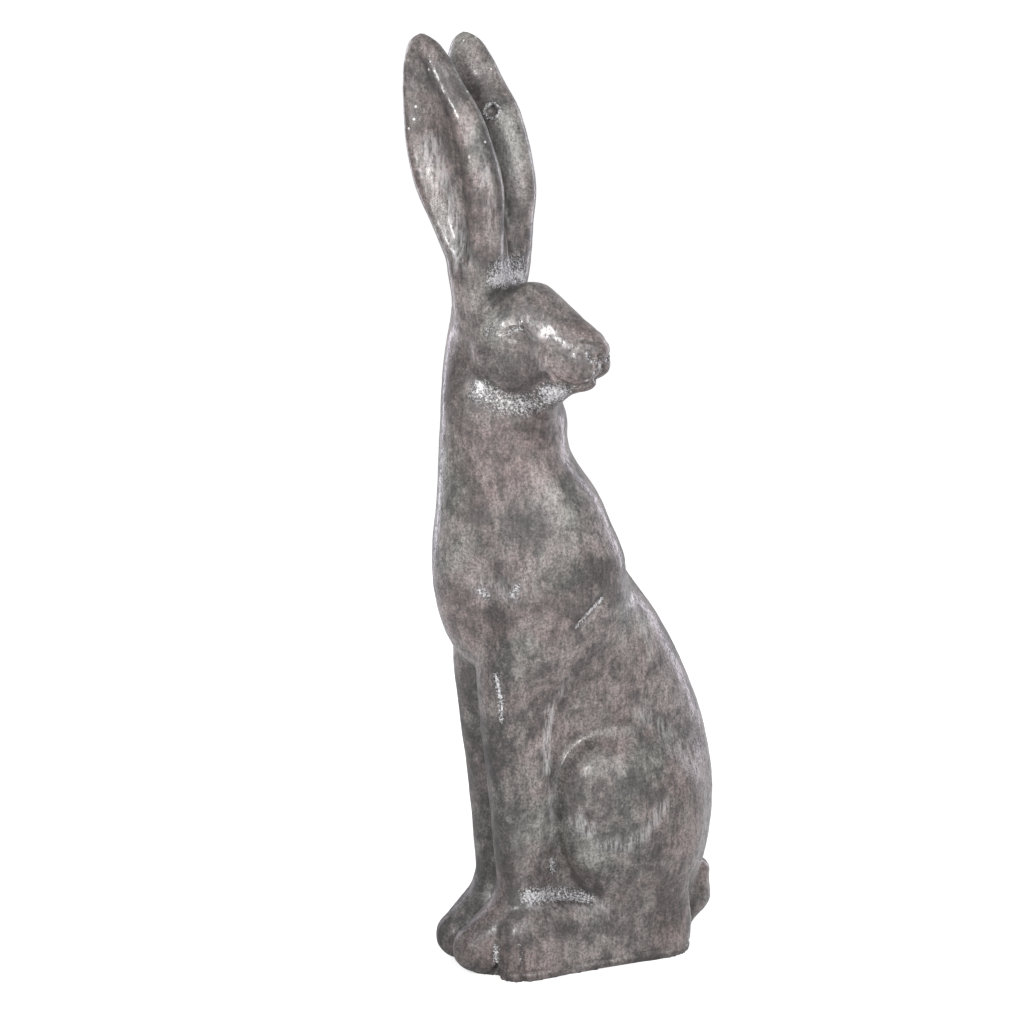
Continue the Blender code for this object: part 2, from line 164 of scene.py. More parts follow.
# Furrows in space: x, y, z, depth
BREAST_VALLEY = (
    (0.064, -0.112, 0.470, 0.000), (0.060, -0.122, 0.430, 0.004), (0.056, -0.124, 0.380, 0.004),
    (0.050, -0.112, 0.290, 0.000),
)
TOE_GAP = (
    (0.050, -0.118, 0.000, 0.010), (0.050, -0.112, 0.030, 0.010), (0.046, -0.096, 0.055, 0.000),
)


def smooth_step(x, low, high):
    """Ease from 0 at low to 1 at high."""
    t = np.clip((x - low) / (high - low), 0, 1)
    return t * t * (3 - 2 * t)


def union(a, b, blend):
    """Join two distances with a fillet of the given size."""
    h = np.maximum(blend - np.abs(a - b), 0.0) / blend
    return np.minimum(a, b) - h * h * blend / 4


def cut(a, b, blend):
    """Take b out of a and ease the rim."""
    return -union(-a, b, blend)


def tilt(angle_x=0.0, angle_y=0.0):
    """Local axes, as rows, after turning about X then Y (degrees)."""
    ax, ay = np.radians([angle_x, angle_y])
    about_x = np.array([[1, 0, 0], [0, np.cos(ax), -np.sin(ax)], [0, np.sin(ax), np.cos(ax)]])
    about_y = np.array([[np.cos(ay), 0, np.sin(ay)], [0, 1, 0], [-np.sin(ay), 0, np.cos(ay)]])
    return (about_y @ about_x).T


def ellipsoid(p, centre, radii, axes=None):
    """Distance to an ellipsoid."""
    q = p - np.array(centre)
    if axes is not None:
        q = q @ axes.T
    r = np.array(radii)
    scaled = np.sqrt(((q / r) ** 2).sum(-1))
    slope = np.sqrt(((q / r ** 2) ** 2).sum(-1))
    return scaled * (scaled - 1) / np.maximum(slope, 1e-6)


def round_cone(p, start, end):
    """Distance to a capsule between two (x, y, z, radius) joints."""
    a, b = np.array(start[:3]), np.array(end[:3])
    run = b - a
    t = np.clip(((p - a) @ run) / (run @ run), 0, 1)
    away = np.sqrt(((p - a - t[..., None] * run) ** 2).sum(-1))
    return away - (start[3] + (end[3] - start[3]) * t)


def limb(p, joints, blend=0.010):
    """Chain of round cones through the joints."""
    d = round_cone(p, joints[0], joints[1])
    for start, end in zip(joints[1:-1], joints[2:]):
        d = union(d, round_cone(p, start, end), blend)
    return d


def curve(level, knots, values):
    """Smooth curve through the values given at the knots."""
    slope = np.gradient(values, knots)
    fine = np.linspace(knots[0], knots[-1], 241)
    i = np.clip(np.searchsorted(knots, fine, side="right") - 1, 0, len(knots) - 2)
    h = knots[i + 1] - knots[i]
    s = (fine - knots[i]) / h
    eased = (
        (1 + 2 * s) * (1 - s) ** 2 * values[i]
        + s * (1 - s) ** 2 * h * slope[i]
        + s * s * (3 - 2 * s) * values[i + 1]
        + s * s * (s - 1) * h * slope[i + 1]
    )
    return np.interp(level, fine, eased)


def loft(q, stations, power=2.0, cap=0.010):
    """Distance to oval sections stacked along the third axis of q."""
    rows = np.array(stations, float)
    levels = rows[:, 0]
    z = q[..., 2]
    centre_a, centre_b, half_a, half_b = (curve(z, levels, rows[:, i]) for i in (1, 2, 3, 4))
    half_a = np.maximum(half_a, 1e-3)
    half_b = np.maximum(half_b, 1e-3)
    x = (q[..., 0] - centre_a) / half_a
    y = (q[..., 1] - centre_b) / half_b
    scaled = (np.abs(x) ** power + np.abs(y) ** power) ** (1 / power)
    slope = np.sqrt((x / half_a) ** 2 + (y / half_b) ** 2) / np.maximum(np.sqrt(x * x + y * y), 1e-6)
    side = (scaled - 1) / np.maximum(slope, 1e-6)
    ends = np.maximum(levels[0] - z, z - levels[-1])
    return cut(side, -ends, cap)


def furrow(p, path, width, sharp):
    """Depth of a furrow along a path whose last column is its depth."""
    pressed = np.zeros(len(p))
    for start, end in zip(path[:-1], path[1:]):
        a, b = np.array(start[:-1]), np.array(end[:-1])
        run = b - a
        t = np.clip(((p - a) @ run) / (run @ run), 0, 1)
        away = np.sqrt(((p - a - t[..., None] * run) ** 2).sum(-1))
        share = np.clip(1 - (away / width) ** 2, 0, 1) ** sharp
        pressed = np.maximum(pressed, share * (start[-1] + t * (end[-1] - start[-1])))
    return pressed


def side_crease(m, path, width, sharp=2.5):
    """Depth of a furrow drawn on the outer side of the body."""
    return furrow(m[..., 1:], path, width, sharp) * smooth_step(m[..., 0], 0.030, 0.050)


def mirrored(p, side):
    """Points with the right half of the body (side -1) folded onto the left."""
    return p * np.array([side, 1, 1])


def head_frame(p):
    """Points as forward, right and up from the middle of the head."""
    turn = np.radians(HEAD_TURN - 90)
    forward = (np.cos(turn), np.sin(turn), 0.0)
    right = (np.sin(turn), -np.cos(turn), 0.0)
    return (p - np.array(HEAD_AT)) @ np.array([forward, right, (0.0, 0.0, 1.0)]).T


def torso(p):
    """Rump, back, breast, shoulders and neck."""
    d = loft(p, TORSO, cap=0.030)
    d = union(d, ellipsoid(p, (0, -0.096, 0.425), (0.056, 0.068, 0.100)), 0.040)
    d = union(d, ellipsoid(p, (0, -0.036, 0.200), (0.047, 0.058, 0.230)), 0.020)
    for side in (1, -1):
        shoulder = ellipsoid(mirrored(p, side), (0.043, -0.036, 0.446), (0.042, 0.058, 0.105), tilt(14))
        d = union(d, shoulder, 0.022)
    return d


def front_legs(p):
    """The pair of front legs with their paws, closed against each other."""
    legs = None
    for side in (1, -1):
        m = mirrored(p, side)
        leg = union(loft(m, FRONT_LEG, power=2.3, cap=0.030), limb(m, PAW), 0.020)
        legs = leg if legs is None else union(legs, leg, 0.004)
    return legs


def hind_leg(p):
    """Haunch, thigh and the long hind foot of the left side."""
    haunch = ellipsoid(p, (HAUNCH_SPACING, 0.037, 0.160), (0.043, 0.082, 0.104), tilt(12))
    thigh = ellipsoid(p, (HAUNCH_SPACING + 0.001, 0.013, 0.198), (0.045, 0.064, 0.064), tilt(-6))
    along = np.stack([p[..., 0], p[..., 2], -p[..., 1]], -1)
    foot = loft(along, FOOT, power=2.15, cap=0.025)
    merge = 0.010 + 0.022 * smooth_step(p[..., 1], -0.02, 0.06)
    return union(union(haunch, thigh, 0.012), foot, merge)


def head(q):
    """Skull, temples, brow, jaw, lips, chin, throat and nose in the head's own axes."""
    d = ellipsoid(q, (-0.002, 0, -0.002), (0.047, 0.046, 0.054))
    d = union(d, round_cone(q, (0.022, 0, 0.031, 0.034), (0.084, 0, -0.001, 0.0225)), 0.020)
    d = union(d, round_cone(q, (0.020, 0, -0.008, 0.038), (0.062, 0, -0.016, 0.0295)), 0.020)
    for side in (1, -1):
        temple = ellipsoid(q, (-0.003, side * 0.014, 0.012), (0.040, 0.034, 0.046))
        lip = ellipsoid(q, (0.079, side * 0.0115, -0.0170), (0.0268, 0.0155, 0.0195))
        eye = ellipsoid(q, (0.026, side * 0.0325, 0.017), (0.014, 0.010, 0.010), tilt(0, 18))
        d = union(union(union(d, temple, 0.006), lip, 0.006), eye, 0.004)
    d = union(d, ellipsoid(q, (0.076, 0, -0.0345), (0.020, 0.013, 0.0110)), 0.004)
    d = union(d, round_cone(q, (0.074, 0, -0.034, 0.010), (0.036, 0, -0.046, 0.022)), 0.006)
    return union(d, ellipsoid(q, (0.0975, 0, -0.0010), (0.0117, 0.0130, 0.0100)), 0.006)


def ears(q):
    """The two upright ears, hollowed on their outer faces and joined by a web at the root."""
    root = np.array([-0.030, 0.0, 0.060])
    d = ellipsoid(q - root, (0, 0, 0.020), (0.024, 0.012, 0.075))
    for side in (1, -1):
        r = (q - root) * np.array([1, side, 1]) - np.array([0, HEAD_TOP_GAP, 0])
        d = union(d, cut(loft(r, EAR, cap=0.006), loft(r, EAR_HOLLOW, cap=0.006), 0.008), 0.008)
    return d


def nape(p):
    """The back of the neck running up into both ear roots."""
    fork = (0.010, -0.112, 0.710, 0.030)
    d = limb(p, ((0.000, -0.104, 0.655, 0.040), fork))
    for tip in ((0.026, -0.131, 0.755, 0.023), (-0.006, -0.092, 0.755, 0.023)):
        d = union(d, limb(p, (fork, tip)), 0.010)
    return d


def lower_forms(p, d):
    """Legs, feet, tail and creases added to the torso."""
    merge = 0.010 + 0.032 * smooth_step(p[..., 2], 0.06, 0.24) * smooth_step(p[..., 1], -0.11, -0.06)
    d = union(d, front_legs(p), merge)
    for side in (1, -1):
        m = mirrored(p, side)
        d = union(d, hind_leg(m), 0.009 + 0.022 * smooth_step(p[..., 1], -0.03, 0.11))
        d = d + furrow(m, BREAST_VALLEY, 0.026, 2.0) + furrow(m, TOE_GAP, 0.010, 2.5)
        d = d + side_crease(m, ARM_CREASE, 0.010) + side_crease(m, KNEE_FOLD, 0.022, 2.0)
        d = d + side_crease(m, HAUNCH_FOLD, 0.016, 2.0)
    return union(d, limb(p, TAIL), 0.006)


def upper_forms(p, d):
    """Nape, ears and head added to the torso."""
    q = head_frame(p)
    d = union(d, union(nape(p), ears(q), 0.014), 0.014)
    throat = 0.004 + 0.030 * smooth_step(q[..., 0], 0.005, 0.045) * smooth_step(-q[..., 2], 0.02, 0.05)
    return union(d, head(q), throat)


def figure(p):
    """Signed distance to the whole hare, flat on the ground, in shares of its height."""
    d = torso(p)
    for part, forms in ((p[..., 2] < 0.56, lower_forms), (p[..., 2] > 0.56, upper_forms)):
        if part.any():
            d[part] = forms(p[part], d[part])
    return np.maximum(d, -p[..., 2])


def single_sheet(case):
    """True when one smooth sheet of skin passes through a grid cell with these inside corners."""
    inside = [bool(case >> i & 1) for i in range(8)]
    for state in (True, False):
        wanted = [i for i in range(8) if inside[i] == state]
        if not wanted:
            continue
        reached = {wanted[0]}
        for _ in range(8):
            reached |= {i ^ bit for i in reached for bit in (1, 2, 4) if inside[i ^ bit] == state}
        if len(reached) != len(wanted):
            return False
    for axis in (1, 2, 4):
        u, v = [bit for bit in (1, 2, 4) if bit != axis]
        for first in (0, axis):
            ring = [inside[first], inside[first ^ u], inside[first ^ u ^ v], inside[first ^ v]]
            if ring[0] == ring[2] and ring[1] == ring[3] and ring[0] != ring[1]:
                return False
    return True


def corner(values, index):
    """The grid values at one of the eight corners of every cell."""
    cuts = tuple(slice(index >> axis & 1, values.shape[axis] - 1 + (index >> axis & 1)) for axis in range(3))
    return values[cuts]


def sampled(low, high, step, field):
    """Field values on a grid, worked out closely only near the skin."""
    coarse = 4
    counts = [int(np.ceil((high[i] - low[i]) / step / coarse)) * coarse + 1 for i in range(3)]
    lines = [low[i] + step * np.arange(counts[i]) for i in range(3)]
    grid = np.stack(np.meshgrid(*lines, indexing="ij"), -1)
    rough = field(grid[::coarse, ::coarse, ::coarse].reshape(-1, 3))
    rough = rough.reshape([(n - 1) // coarse + 1 for n in counts])
    values = rough
    for axis in range(3):
        values = np.repeat(values, coarse, axis)
    values = values[tuple(slice(0, n) for n in counts)].copy()
    near = np.abs(values) < 1.9 * coarse * step
    values[near] = field(grid[near])
    return values


def one_sheet_everywhere(values, step):
    """Fill the few cells where two sheets of skin would meet, so the mesh stays closed and simple."""
    simple = np.array([single_sheet(case) for case in range(256)])
    for _ in range(40):
        case = sum((corner(values, i) < 0).astype(int) << i for i in range(8))
        cells = np.argwhere(~simple[case])
        if not len(cells):
            return values
        for i in range(8):
            spot = tuple(cells[:, axis] + (i >> axis & 1) for axis in range(3))
            values[spot] = np.minimum(values[spot], -0.05 * step)
    raise RuntimeError("the skin could not be made single")


def skin(field, low, high, step):
    """Vertices and quads of the zero surface, one vertex to each grid cell it crosses."""
    values = one_sheet_everywhere(sampled(low, high, step, field), step)
    inside = values < 0
    filled = sum(corner(inside, i).astype(int) for i in range(8))
    active = (filled > 0) & (filled < 8)
    cells = np.argwhere(active)
    number = np.full(active.shape, -1)
    number[active] = np.arange(len(cells))
    total = np.zeros((len(cells), 3))
    count = np.zeros(len(cells))
    for axis in range(3):
        for i in range(8):
            if i >> axis & 1:
                continue
            here = np.array([i & 1, i >> 1 & 1, i >> 2 & 1])
            there = here + np.eye(3, dtype=int)[axis]
            a = values[tuple((cells + here).T)]
            b = values[tuple((cells + there).T)]
            crossed = (a < 0) != (b < 0)
            spot = np.tile(here.astype(float), (len(cells), 1))
            spot[:, axis] += np.where(crossed, a / np.where(a == b, 1, a - b), 0)
            total[crossed] += spot[crossed]
            count[crossed] += 1
    points = (cells + total / count[:, None]) * step + low
    quads = []
    for axis in range(3):
        u, v = (axis + 1) % 3, (axis + 2) % 3
        inner = [slice(1, -1)] * 3
        first, second = list(inner), list(inner)
        first[axis], second[axis] = slice(0, -1), slice(1, None)
        a, b = inside[tuple(first)], inside[tuple(second)]
        edges = np.argwhere(a != b)
        outward = a[a != b]
        edges[:, u] += 1
        edges[:, v] += 1
        ring = []
        for du, dv in ((1, 1), (0, 1), (0, 0), (1, 0)):
            cell = edges.copy()
            cell[:, u] -= du
            cell[:, v] -= dv
            ring.append(number[tuple(cell.T)])
        ring = np.stack(ring, 1)
        ring[~outward] = ring[~outward][:, ::-1]
        quads.append(ring)
    return points, np.concatenate(quads)


def field_slope(points, field, reach):
    """Slope of the field at the points, from differences over a small reach."""
    sides = [field(points + reach * e) - field(points - reach * e) for e in np.eye(3)]
    return np.stack(sides, 1) / (2 * reach)


# Lines of the face in the head's side view, mirrored on both cheeks: forward, up, depth
MOUTH = (
    (0.057, -0.019, 0.0000), (0.062, -0.027, 0.0024), (0.067, -0.032, 0.0028), (0.074, -0.0365, 0.0028),
    (0.083, -0.037, 0.0024), (0.093, -0.034, 0.0020), (0.104, -0.028, 0.0010),
)
UPPER_LID = (
    (0.008, 0.014, 0.0000), (0.016, 0.0185, 0.0016), (0.023, 0.0220, 0.0020), (0.030, 0.0225, 0.0018),
    (0.037, 0.0175, 0.0014), (0.042, 0.0100, 0.0000),
)
LOWER_LID = (
    (0.013, 0.0145, 0.0000), (0.020, 0.0100, 0.0010), (0.029, 0.0090, 0.0010), (0.038, 0.0135, 0.0000),
)
LID_FOLD = (
    (0.030, 0.0225, 0.0014), (0.0265, 0.0310, 0.0000),
)
CHEEK_LINE = (
    (0.050, 0.008, 0.0000), (0.043, -0.006, 0.0012), (0.043, -0.018, 0.0018), (0.050, -0.027, 0.0024),
    (0.057, -0.031, 0.0000),
)
NOSE_RIM = (
    (0.083, 0.0115, 0.0000), (0.092, 0.0105, 0.0006), (0.101, 0.0085, 0.0007), (0.109, 0.0055, 0.0000),
)

# Lines of the face in space, in the head's axes: forward, right, up, depth
PHILTRUM = (
    (0.103, 0.000, -0.011, 0.0020), (0.101, 0.000, -0.020, 0.0034), (0.096, 0.000, -0.031, 0.0020),
)
NOSE_WING = (
    (0.1060, 0.001, -0.0110, 0.0026), (0.1045, 0.010, -0.0105, 0.0030), (0.0995, 0.0180, -0.0065, 0.0030),
    (0.0940, 0.0215, 0.0010, 0.0000),
)

NOSTRIL = (0.1030, 0.0090, -0.0050)
NOSTRIL_RADII = (0.0060, 0.0048, 0.0034)

# Toe lines: x, y, z, depth
HIND_TOES = (
    (0.076, -0.099, 0.000, 0.0030), (0.074, -0.103, 0.030, 0.0030), (0.068, -0.098, 0.052, 0.0000),
)
HIND_TOES_INNER = (
    (0.060, -0.128, 0.000, 0.0030), (0.060, -0.122, 0.030, 0.0028), (0.056, -0.108, 0.054, 0.0000),
)
PAW_TOES_OUTER = (
    (0.034, -0.160, 0.000, 0.0040), (0.034, -0.158, 0.028, 0.0040), (0.032, -0.136, 0.056, 0.0000),
)
PAW_TOES_INNER = (
    (0.015, -0.160, 0.000, 0.0040), (0.015, -0.159, 0.028, 0.0040), (0.017, -0.138, 0.056, 0.0000),
)

EAR_PIT = (-0.009, -0.098, 0.919)    # casting flaw on the back of the far ear
PIT_RIM = 0.0080                     # radius of its raised rim
LIP_HEIGHT = 0.010                   # low flange under the hind feet
LIP_NOTCH = (0.078, -0.043, 0.006)   # small break in it

# Pale wax crumbs, and painted glints and highlights drawn as pale crumbs on the eye, chest, ear roots, jaw,
# arm crease, near leg and foot junction, in thousandths of the height: strength, width, then points x, y, z
WAX_AND_GLINT_CRUMBS = (
    (0.75, 19, (40, -132, 636), (50, -115, 624), (54, -94, 620), (66, -80, 626)),
    (1.0, 21, (78, -70, 636), (86, -64, 638)),
    (1.0, 13, (58, -124, 751), (40, -98, 752), (21, -78, 752)),
    (0.7, 22, (54, -118, 760), (21, -84, 762)),
    (1.0, 14, (55, -85, 87), (44, -55, 83)),
    (0.85, 13, (44, -55, 83), (46, -30, 79), (53, -14, 74)),
    (0.85, 8, (45, -54, 121), (44, -52, 110)),
    (0.9, 3.4, (120, -49, 680), (122, -45, 672), (121, -36, 669), (115, -27, 676)),
    (0.8, 3, (122, -37, 668), (124, -42, 660), (122, -43, 655)),
    (0.8, 4, (118, -47, 652), (112, -46, 647)),
    (0.8, 4.5, (74, -114, 700), (80, -105, 703)),
    (0.75, 4, (80, -105, 703), (77, -104, 712)),
    (0.6, 8, (62, -129, 702), (58, -132, 699)),
    (0.85, 6.5, (50, -138, 428), (53, -131, 420)),
    (0.9, 6, (72, -104, 433), (69, -110, 422)),
    (1.0, 4.5, (55, -122, 335), (57, -117, 309), (56, -116, 284)),
    (1.0, 4.2, (84, -12, 417), (85, -28, 402), (84, -43, 387)),
    (0.9, 5, (55, -122, 36), (55, -122, 12)),
    (0.5, 4, (74, -103, 42), (76, -102, 12)),
    (0.5, 8, (44, 112, 20), (34, 118, 52)),
    (0.35, 3, (-48, -121, 965), (40, -140, 930), (50, -134, 905)),
)

# Soft brushed wax on worn ridges, and painted sheen: pale brushed streaks standing for the soft highlights
# along the thigh, haunch, ears and chest: the same columns
WAX_AND_SHEEN_SMEARS = (
    (1.0, 8.5, (57, -62, 298), (55, -64, 262), (54, -63, 225)),
    (0.75, 9, (64, -40, 345), (58, -50, 310)),
    (0.4, 6, (53, -60, 210), (48, -55, 140)),
    (0.8, 13, (77, -36, 172), (83, -24, 160)),
    (0.6, 11, (83, -11, 146), (90, 12, 143), (92, 36, 153), (91, 58, 182)),
    (0.55, 11, (67, 43, 279), (65, 69, 260), (64, 94, 234), (63, 112, 205)),
    (0.7, 18, (6, -172, 885), (15, -163, 847), (24, -157, 812), (40, -153, 770)),
    (0.5, 10, (59, -137, 864), (62, -131, 839), (60, -127, 805)),
    (0.35, 16, (50, -138, 430), (70, -107, 428)),
    (0.45, 6, (50, 40, 410), (56, 45, 379), (62, 60, 335)),
    (0.3, 16, (89, -94, 672), (96, -82, 668)),
    (0.45, 12, (60, -80, 80), (64, -40, 76), (68, 0, 70)),
)

# Dirt and dark wax, and painted shade in the creases and grooves, under the cheek and jaw, down the chest
# valley and on the far leg and paws: the same columns
GRIME_AND_SHADE = (
    (0.85, 12, (46, -137, 713), (50, -131, 723), (51, -118, 736), (47, -99, 744)),
    (0.4, 26, (58, -132, 676), (66, -121, 656)),
    (0.8, 9, (89, -85, 655), (83, -90, 650)),
    (0.6, 10, (40, -135, 652), (52, -120, 640), (60, -104, 638)),
    (0.55, 30, (30, -125, 50), (26, -145, 30)),
    (0.6, 36, (-28, -150, 20), (-28, -120, 60), (-28, -105, 160), (-24, -120, 290)),
    (0.8, 20, (52, -46, 100), (56, -48, 160), (62, -48, 215), (76, -22, 258)),
    (0.7, 22, (58, -120, 450), (58, -120, 374), (56, -112, 300), (52, -108, 180)),
    (0.6, 7, (19, -176, 952), (29, -162, 915), (38, -155, 882), (41, -150, 845), (41, -147, 803),
     (49, -148, 775)),
    (0.8, 8, (-30, -135, 965), (40, -136, 940), (52, -130, 904), (60, -122, 844), (55, -114, 803)),
    (0.9, 5, (120, -36, 675), (119, -33, 674)),
    (0.5, 4, (115, -52, 692), (118, -44, 691), (118, -33, 689)),
    (0.6, 3.5, (98, -76, 656), (100, -69, 650), (101, -61, 645), (104, -51, 644)),
    (0.55, 14, (60, -108, 60), (56, -116, 20)),
    (0.7, 16, (74, -96, 46), (78, -70, 56), (80, -30, 52)),
    (0.3, 18, (84, -50, 22), (86, 10, 26), (84, 60, 30)),
    (0.5, 26, (75, -100, 500), (82, -70, 470), (86, -30, 440)),
    (0.45, 20, (52, -130, 470), (64, -118, 400)),
    (0.8, 24, (54, -70, 104), (58, -40, 110), (66, -10, 104)),
    (0.6, 26, (58, -52, 130), (64, -40, 190)),
    (0.9, 10, (64, -48, 300), (61, -49, 262), (59, -48, 225), (58, -42, 180), (62, -32, 140)),
    (0.45, 14, (70, -20, 120), (82, 16, 116), (88, 50, 130)),
    (0.5, 18, (30, 125, 20), (30, 130, 70)),
)


def face_relief(p):
    """Carving of mouth, lids, cheeks and nose in the head's own axes, positive inward."""
    q = head_frame(p)
    side = q[..., [0, 2]]
    folded = np.stack([q[..., 0], np.abs(q[..., 1]), q[..., 2]], -1)
    off_middle = smooth_step(folded[..., 1], 0.002, 0.008)
    cheek = smooth_step(folded[..., 1], 0.012, 0.022)
    near_nose = 1 - smooth_step(folded[..., 1], 0.020, 0.026)
    away = np.sqrt((((folded - NOSTRIL) / NOSTRIL_RADII) ** 2).sum(-1))
    carved = 0.0036 * np.clip(1 - away ** 2, 0, 1) ** 1.5
    for place, line, width, sharp, where in (
        (side, MOUTH, 0.0034, 1.5, off_middle),
        (side, UPPER_LID, 0.0028, 1.5, cheek),
        (side, LOWER_LID, 0.0030, 1.5, cheek),
        (side, LID_FOLD, 0.0024, 1.5, cheek),
        (side, CHEEK_LINE, 0.0110, 2.0, cheek),
        (side, NOSE_RIM, 0.0026, 1.5, near_nose),
        (q, PHILTRUM, 0.0045, 1.5, 1),
        (folded, NOSE_WING, 0.0034, 1.5, 1),
    ):
        carved += furrow(place, line, width, sharp) * where
    return carved


def foot_relief(p):
    """Toe lines and the low lip round the bottom of the hind feet, positive inward."""
    m = np.abs(p[..., :1]) * (1, 0, 0) + p * (0, 1, 1)
    carved = np.zeros(len(p))
    for path in (HIND_TOES, HIND_TOES_INNER, PAW_TOES_OUTER, PAW_TOES_INNER):
        carved = np.maximum(carved, furrow(m, path, 0.0055, 1.5))
    z = p[..., 2]
    rear = smooth_step(p[..., 1], -0.125, -0.105)
    seam = np.clip(1 - ((z - LIP_HEIGHT) / 0.0030) ** 2, 0, 1) ** 1.5
    wobble = 1 + 0.5 * np.sin(95 * p[..., 1] + 40 * p[..., 0])
    carved += 0.0016 * seam * wobble * rear
    carved -= 0.0013 * smooth_step(-z, -LIP_HEIGHT, -0.6 * LIP_HEIGHT) * rear
    away = np.sqrt(((p - np.array(LIP_NOTCH)) ** 2).sum(-1))
    return carved + 0.0030 * np.clip(1 - (away / 0.007) ** 2, 0, 1)


def ear_relief(p):
    """The round pit with a raised broken rim on the far ear, positive inward."""
    off = p - np.array(EAR_PIT)
    away = np.sqrt((off ** 2).sum(-1))
    pit = 0.0036 * np.clip(1 - (away / 0.0062) ** 2, 0, 1)
    broken = 0.75 + 0.45 * np.sin(5 * np.arctan2(off[..., 2], off[..., 0]) + 1.0)
    rim = 0.0022 * np.clip(1 - ((away - PIT_RIM) / 0.0024) ** 2, 0, 1) * broken
    return pit - rim


def carved_figure(p):
    """Signed distance to the hare with all its fine carving."""
    d = figure(p)
    z = p[..., 2]
    for chosen, relief in (
        ((z > 0.60) & (z < 0.78), face_relief),
        (z < 0.075, foot_relief),
        (z > 0.88, ear_relief),
    ):
        if chosen.any():
            d[chosen] += relief(p[chosen])
    return np.maximum(d, -z)


def needs_detail(p, level):
    """Places where the skin carries fine carving, by level of refinement."""
    q = head_frame(p)
    muzzle = (q[..., 0] > 0.052) & (np.abs(q[..., 2]) < 0.050)
    eye = (np.abs(q[..., 0] - 0.025) < 0.020) & (np.abs(q[..., 2] - 0.019) < 0.014)
    eye &= np.abs(q[..., 1]) > 0.02
    if level == 2:
        nose = (q[..., 0] > 0.082) & (q[..., 2] > -0.040) & (q[..., 2] < 0.016)
        mouth = muzzle & (q[..., 2] > -0.042) & (q[..., 2] < -0.022)
        return nose | mouth | eye
    toes = (p[..., 2] < 0.050) & (p[..., 1] < -0.088)
    lip = (p[..., 2] < 0.016) & (p[..., 2] > 0.0005)
    pit = ((p - np.array(EAR_PIT)) ** 2).sum(-1) < 0.013 ** 2
    folded = np.stack([np.abs(p[..., 0]), p[..., 1], p[..., 2]], -1)
    crease_here = side_crease(folded, ARM_CREASE, 0.014) > 0
    return muzzle | eye | toes | lip | pit | crease_here


def surface_edges(faces):
    """Both ends of every edge, once for each face it borders."""
    here = np.concatenate([np.array(face) for face in faces])
    there = np.concatenate([np.roll(face, -1) for face in faces])
    return here, there


def refined(points, faces, wanted):
    """Split the wanted faces into four and fit their neighbours to them."""
    shape = bmesh.new()
    corners = [shape.verts.new(point) for point in points]
    for face in faces:
        shape.faces.new([corners[i] for i in face])
    shape.faces.index_update()
    chosen = {edge for face in shape.faces if wanted[face.index] for edge in face.edges}
    bmesh.ops.subdivide_edges(shape, edges=list(chosen), cuts=1, use_grid_fill=True)
    bmesh.ops.triangulate(shape, faces=[face for face in shape.faces if len(face.verts) > 4])
    shape.verts.index_update()
    new_points = np.array([vert.co for vert in shape.verts])
    new_faces = [[vert.index for vert in face.verts] for face in shape.faces]
    shape.free()
    return new_points, new_faces


def settled(points, faces, field, reach, passes, moving=None):
    """Even out the points and slide them onto the surface, within a short reach of where they began."""
    if moving is None:
        moving = np.ones(len(points), bool)
    start = points.copy()
    here, there = surface_edges(faces)
    links = np.bincount(here, minlength=len(points)) + np.bincount(there, minlength=len(points))
    for turn in range(passes):
        slope = field_slope(points[moving], field, 0.12 * reach)
        size = np.maximum((slope ** 2).sum(1), 0.3)[:, None]
        pull = -field(points[moving])[:, None] / size * slope
        if turn < passes - 1:
            around = np.empty_like(points)
            for axis in range(3):
                along = points[:, axis]
                total = np.bincount(here, along[there], len(points))
                total += np.bincount(there, along[here], len(points))
                around[:, axis] = total / links
            spread = 0.6 * (around - points)[moving]
            pull += spread - (spread * slope).sum(1)[:, None] / size * slope
        points = points.copy()
        points[moving] += pull
        points = start + np.clip(points - start, -0.9 * reach, 0.9 * reach)
    return points


def face_middles(points, faces):
    """The middle of every face."""
    sizes = np.array([len(face) for face in faces])
    flat = np.concatenate([np.array(face) for face in faces])
    owner = np.repeat(np.arange(len(faces)), sizes)
    total = np.stack([np.bincount(owner, points[flat, axis], len(faces)) for axis in range(3)], 1)
    return total / sizes[:, None]


def hare_skin(spacing):
    """Points, faces and outward directions of the fine skin, in shares of the height."""
    low = np.array([-0.115, -0.215, -2.5 * spacing])
    high = np.array([0.145, 0.180, 1.02])
    points, quads = skin(figure, low, high, spacing)
    faces = quads.tolist()
    points = settled(points, faces, carved_figure, spacing, 3)
    reach = spacing
    for level in ((1, 2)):
        points, faces = refined(points, faces, needs_detail(face_middles(points, faces), level))
        reach = reach / 2
        points = settled(points, faces, carved_figure, reach, 3, needs_detail(points, level))
    slope = field_slope(points, carved_figure, 0.3 * spacing)
    outward = slope / np.maximum(np.sqrt((slope ** 2).sum(1)), 1e-9)[:, None]
    return points, faces, outward


def shelter(points, outward, reach):
    """How far each point sits in a crease: 0 on open skin, towards 1 where the skin closes over it."""
    return np.clip(1 - carved_figure(points + reach * outward) / reach, 0, 1)


def thinness(points, outward, reach):
    """How sharply the skin turns outward at each point: 0 on flat skin, towards 1 on a rim."""
    return np.clip(1 + carved_figure(points - reach * outward) / reach, 0, 1)


def pit_rim_highlight(points):
    """Painted highlight: a pale ring round the pit on the far ear."""
    away = np.sqrt(((points - np.array(EAR_PIT)) ** 2).sum(-1))
    return 0.8 * np.clip(1 - ((away - PIT_RIM) / 0.0032) ** 2, 0, 1)


def marked(points, marks):
    """How strongly each point is covered by a set of marks: 0 to 1."""
    covered = np.zeros(len(points))
    for strength, width, *path in marks:
        rows = [(*spot, strength) for spot in path]
        covered = np.maximum(covered, furrow(1000 * points, rows, width, 1.2))
    return covered


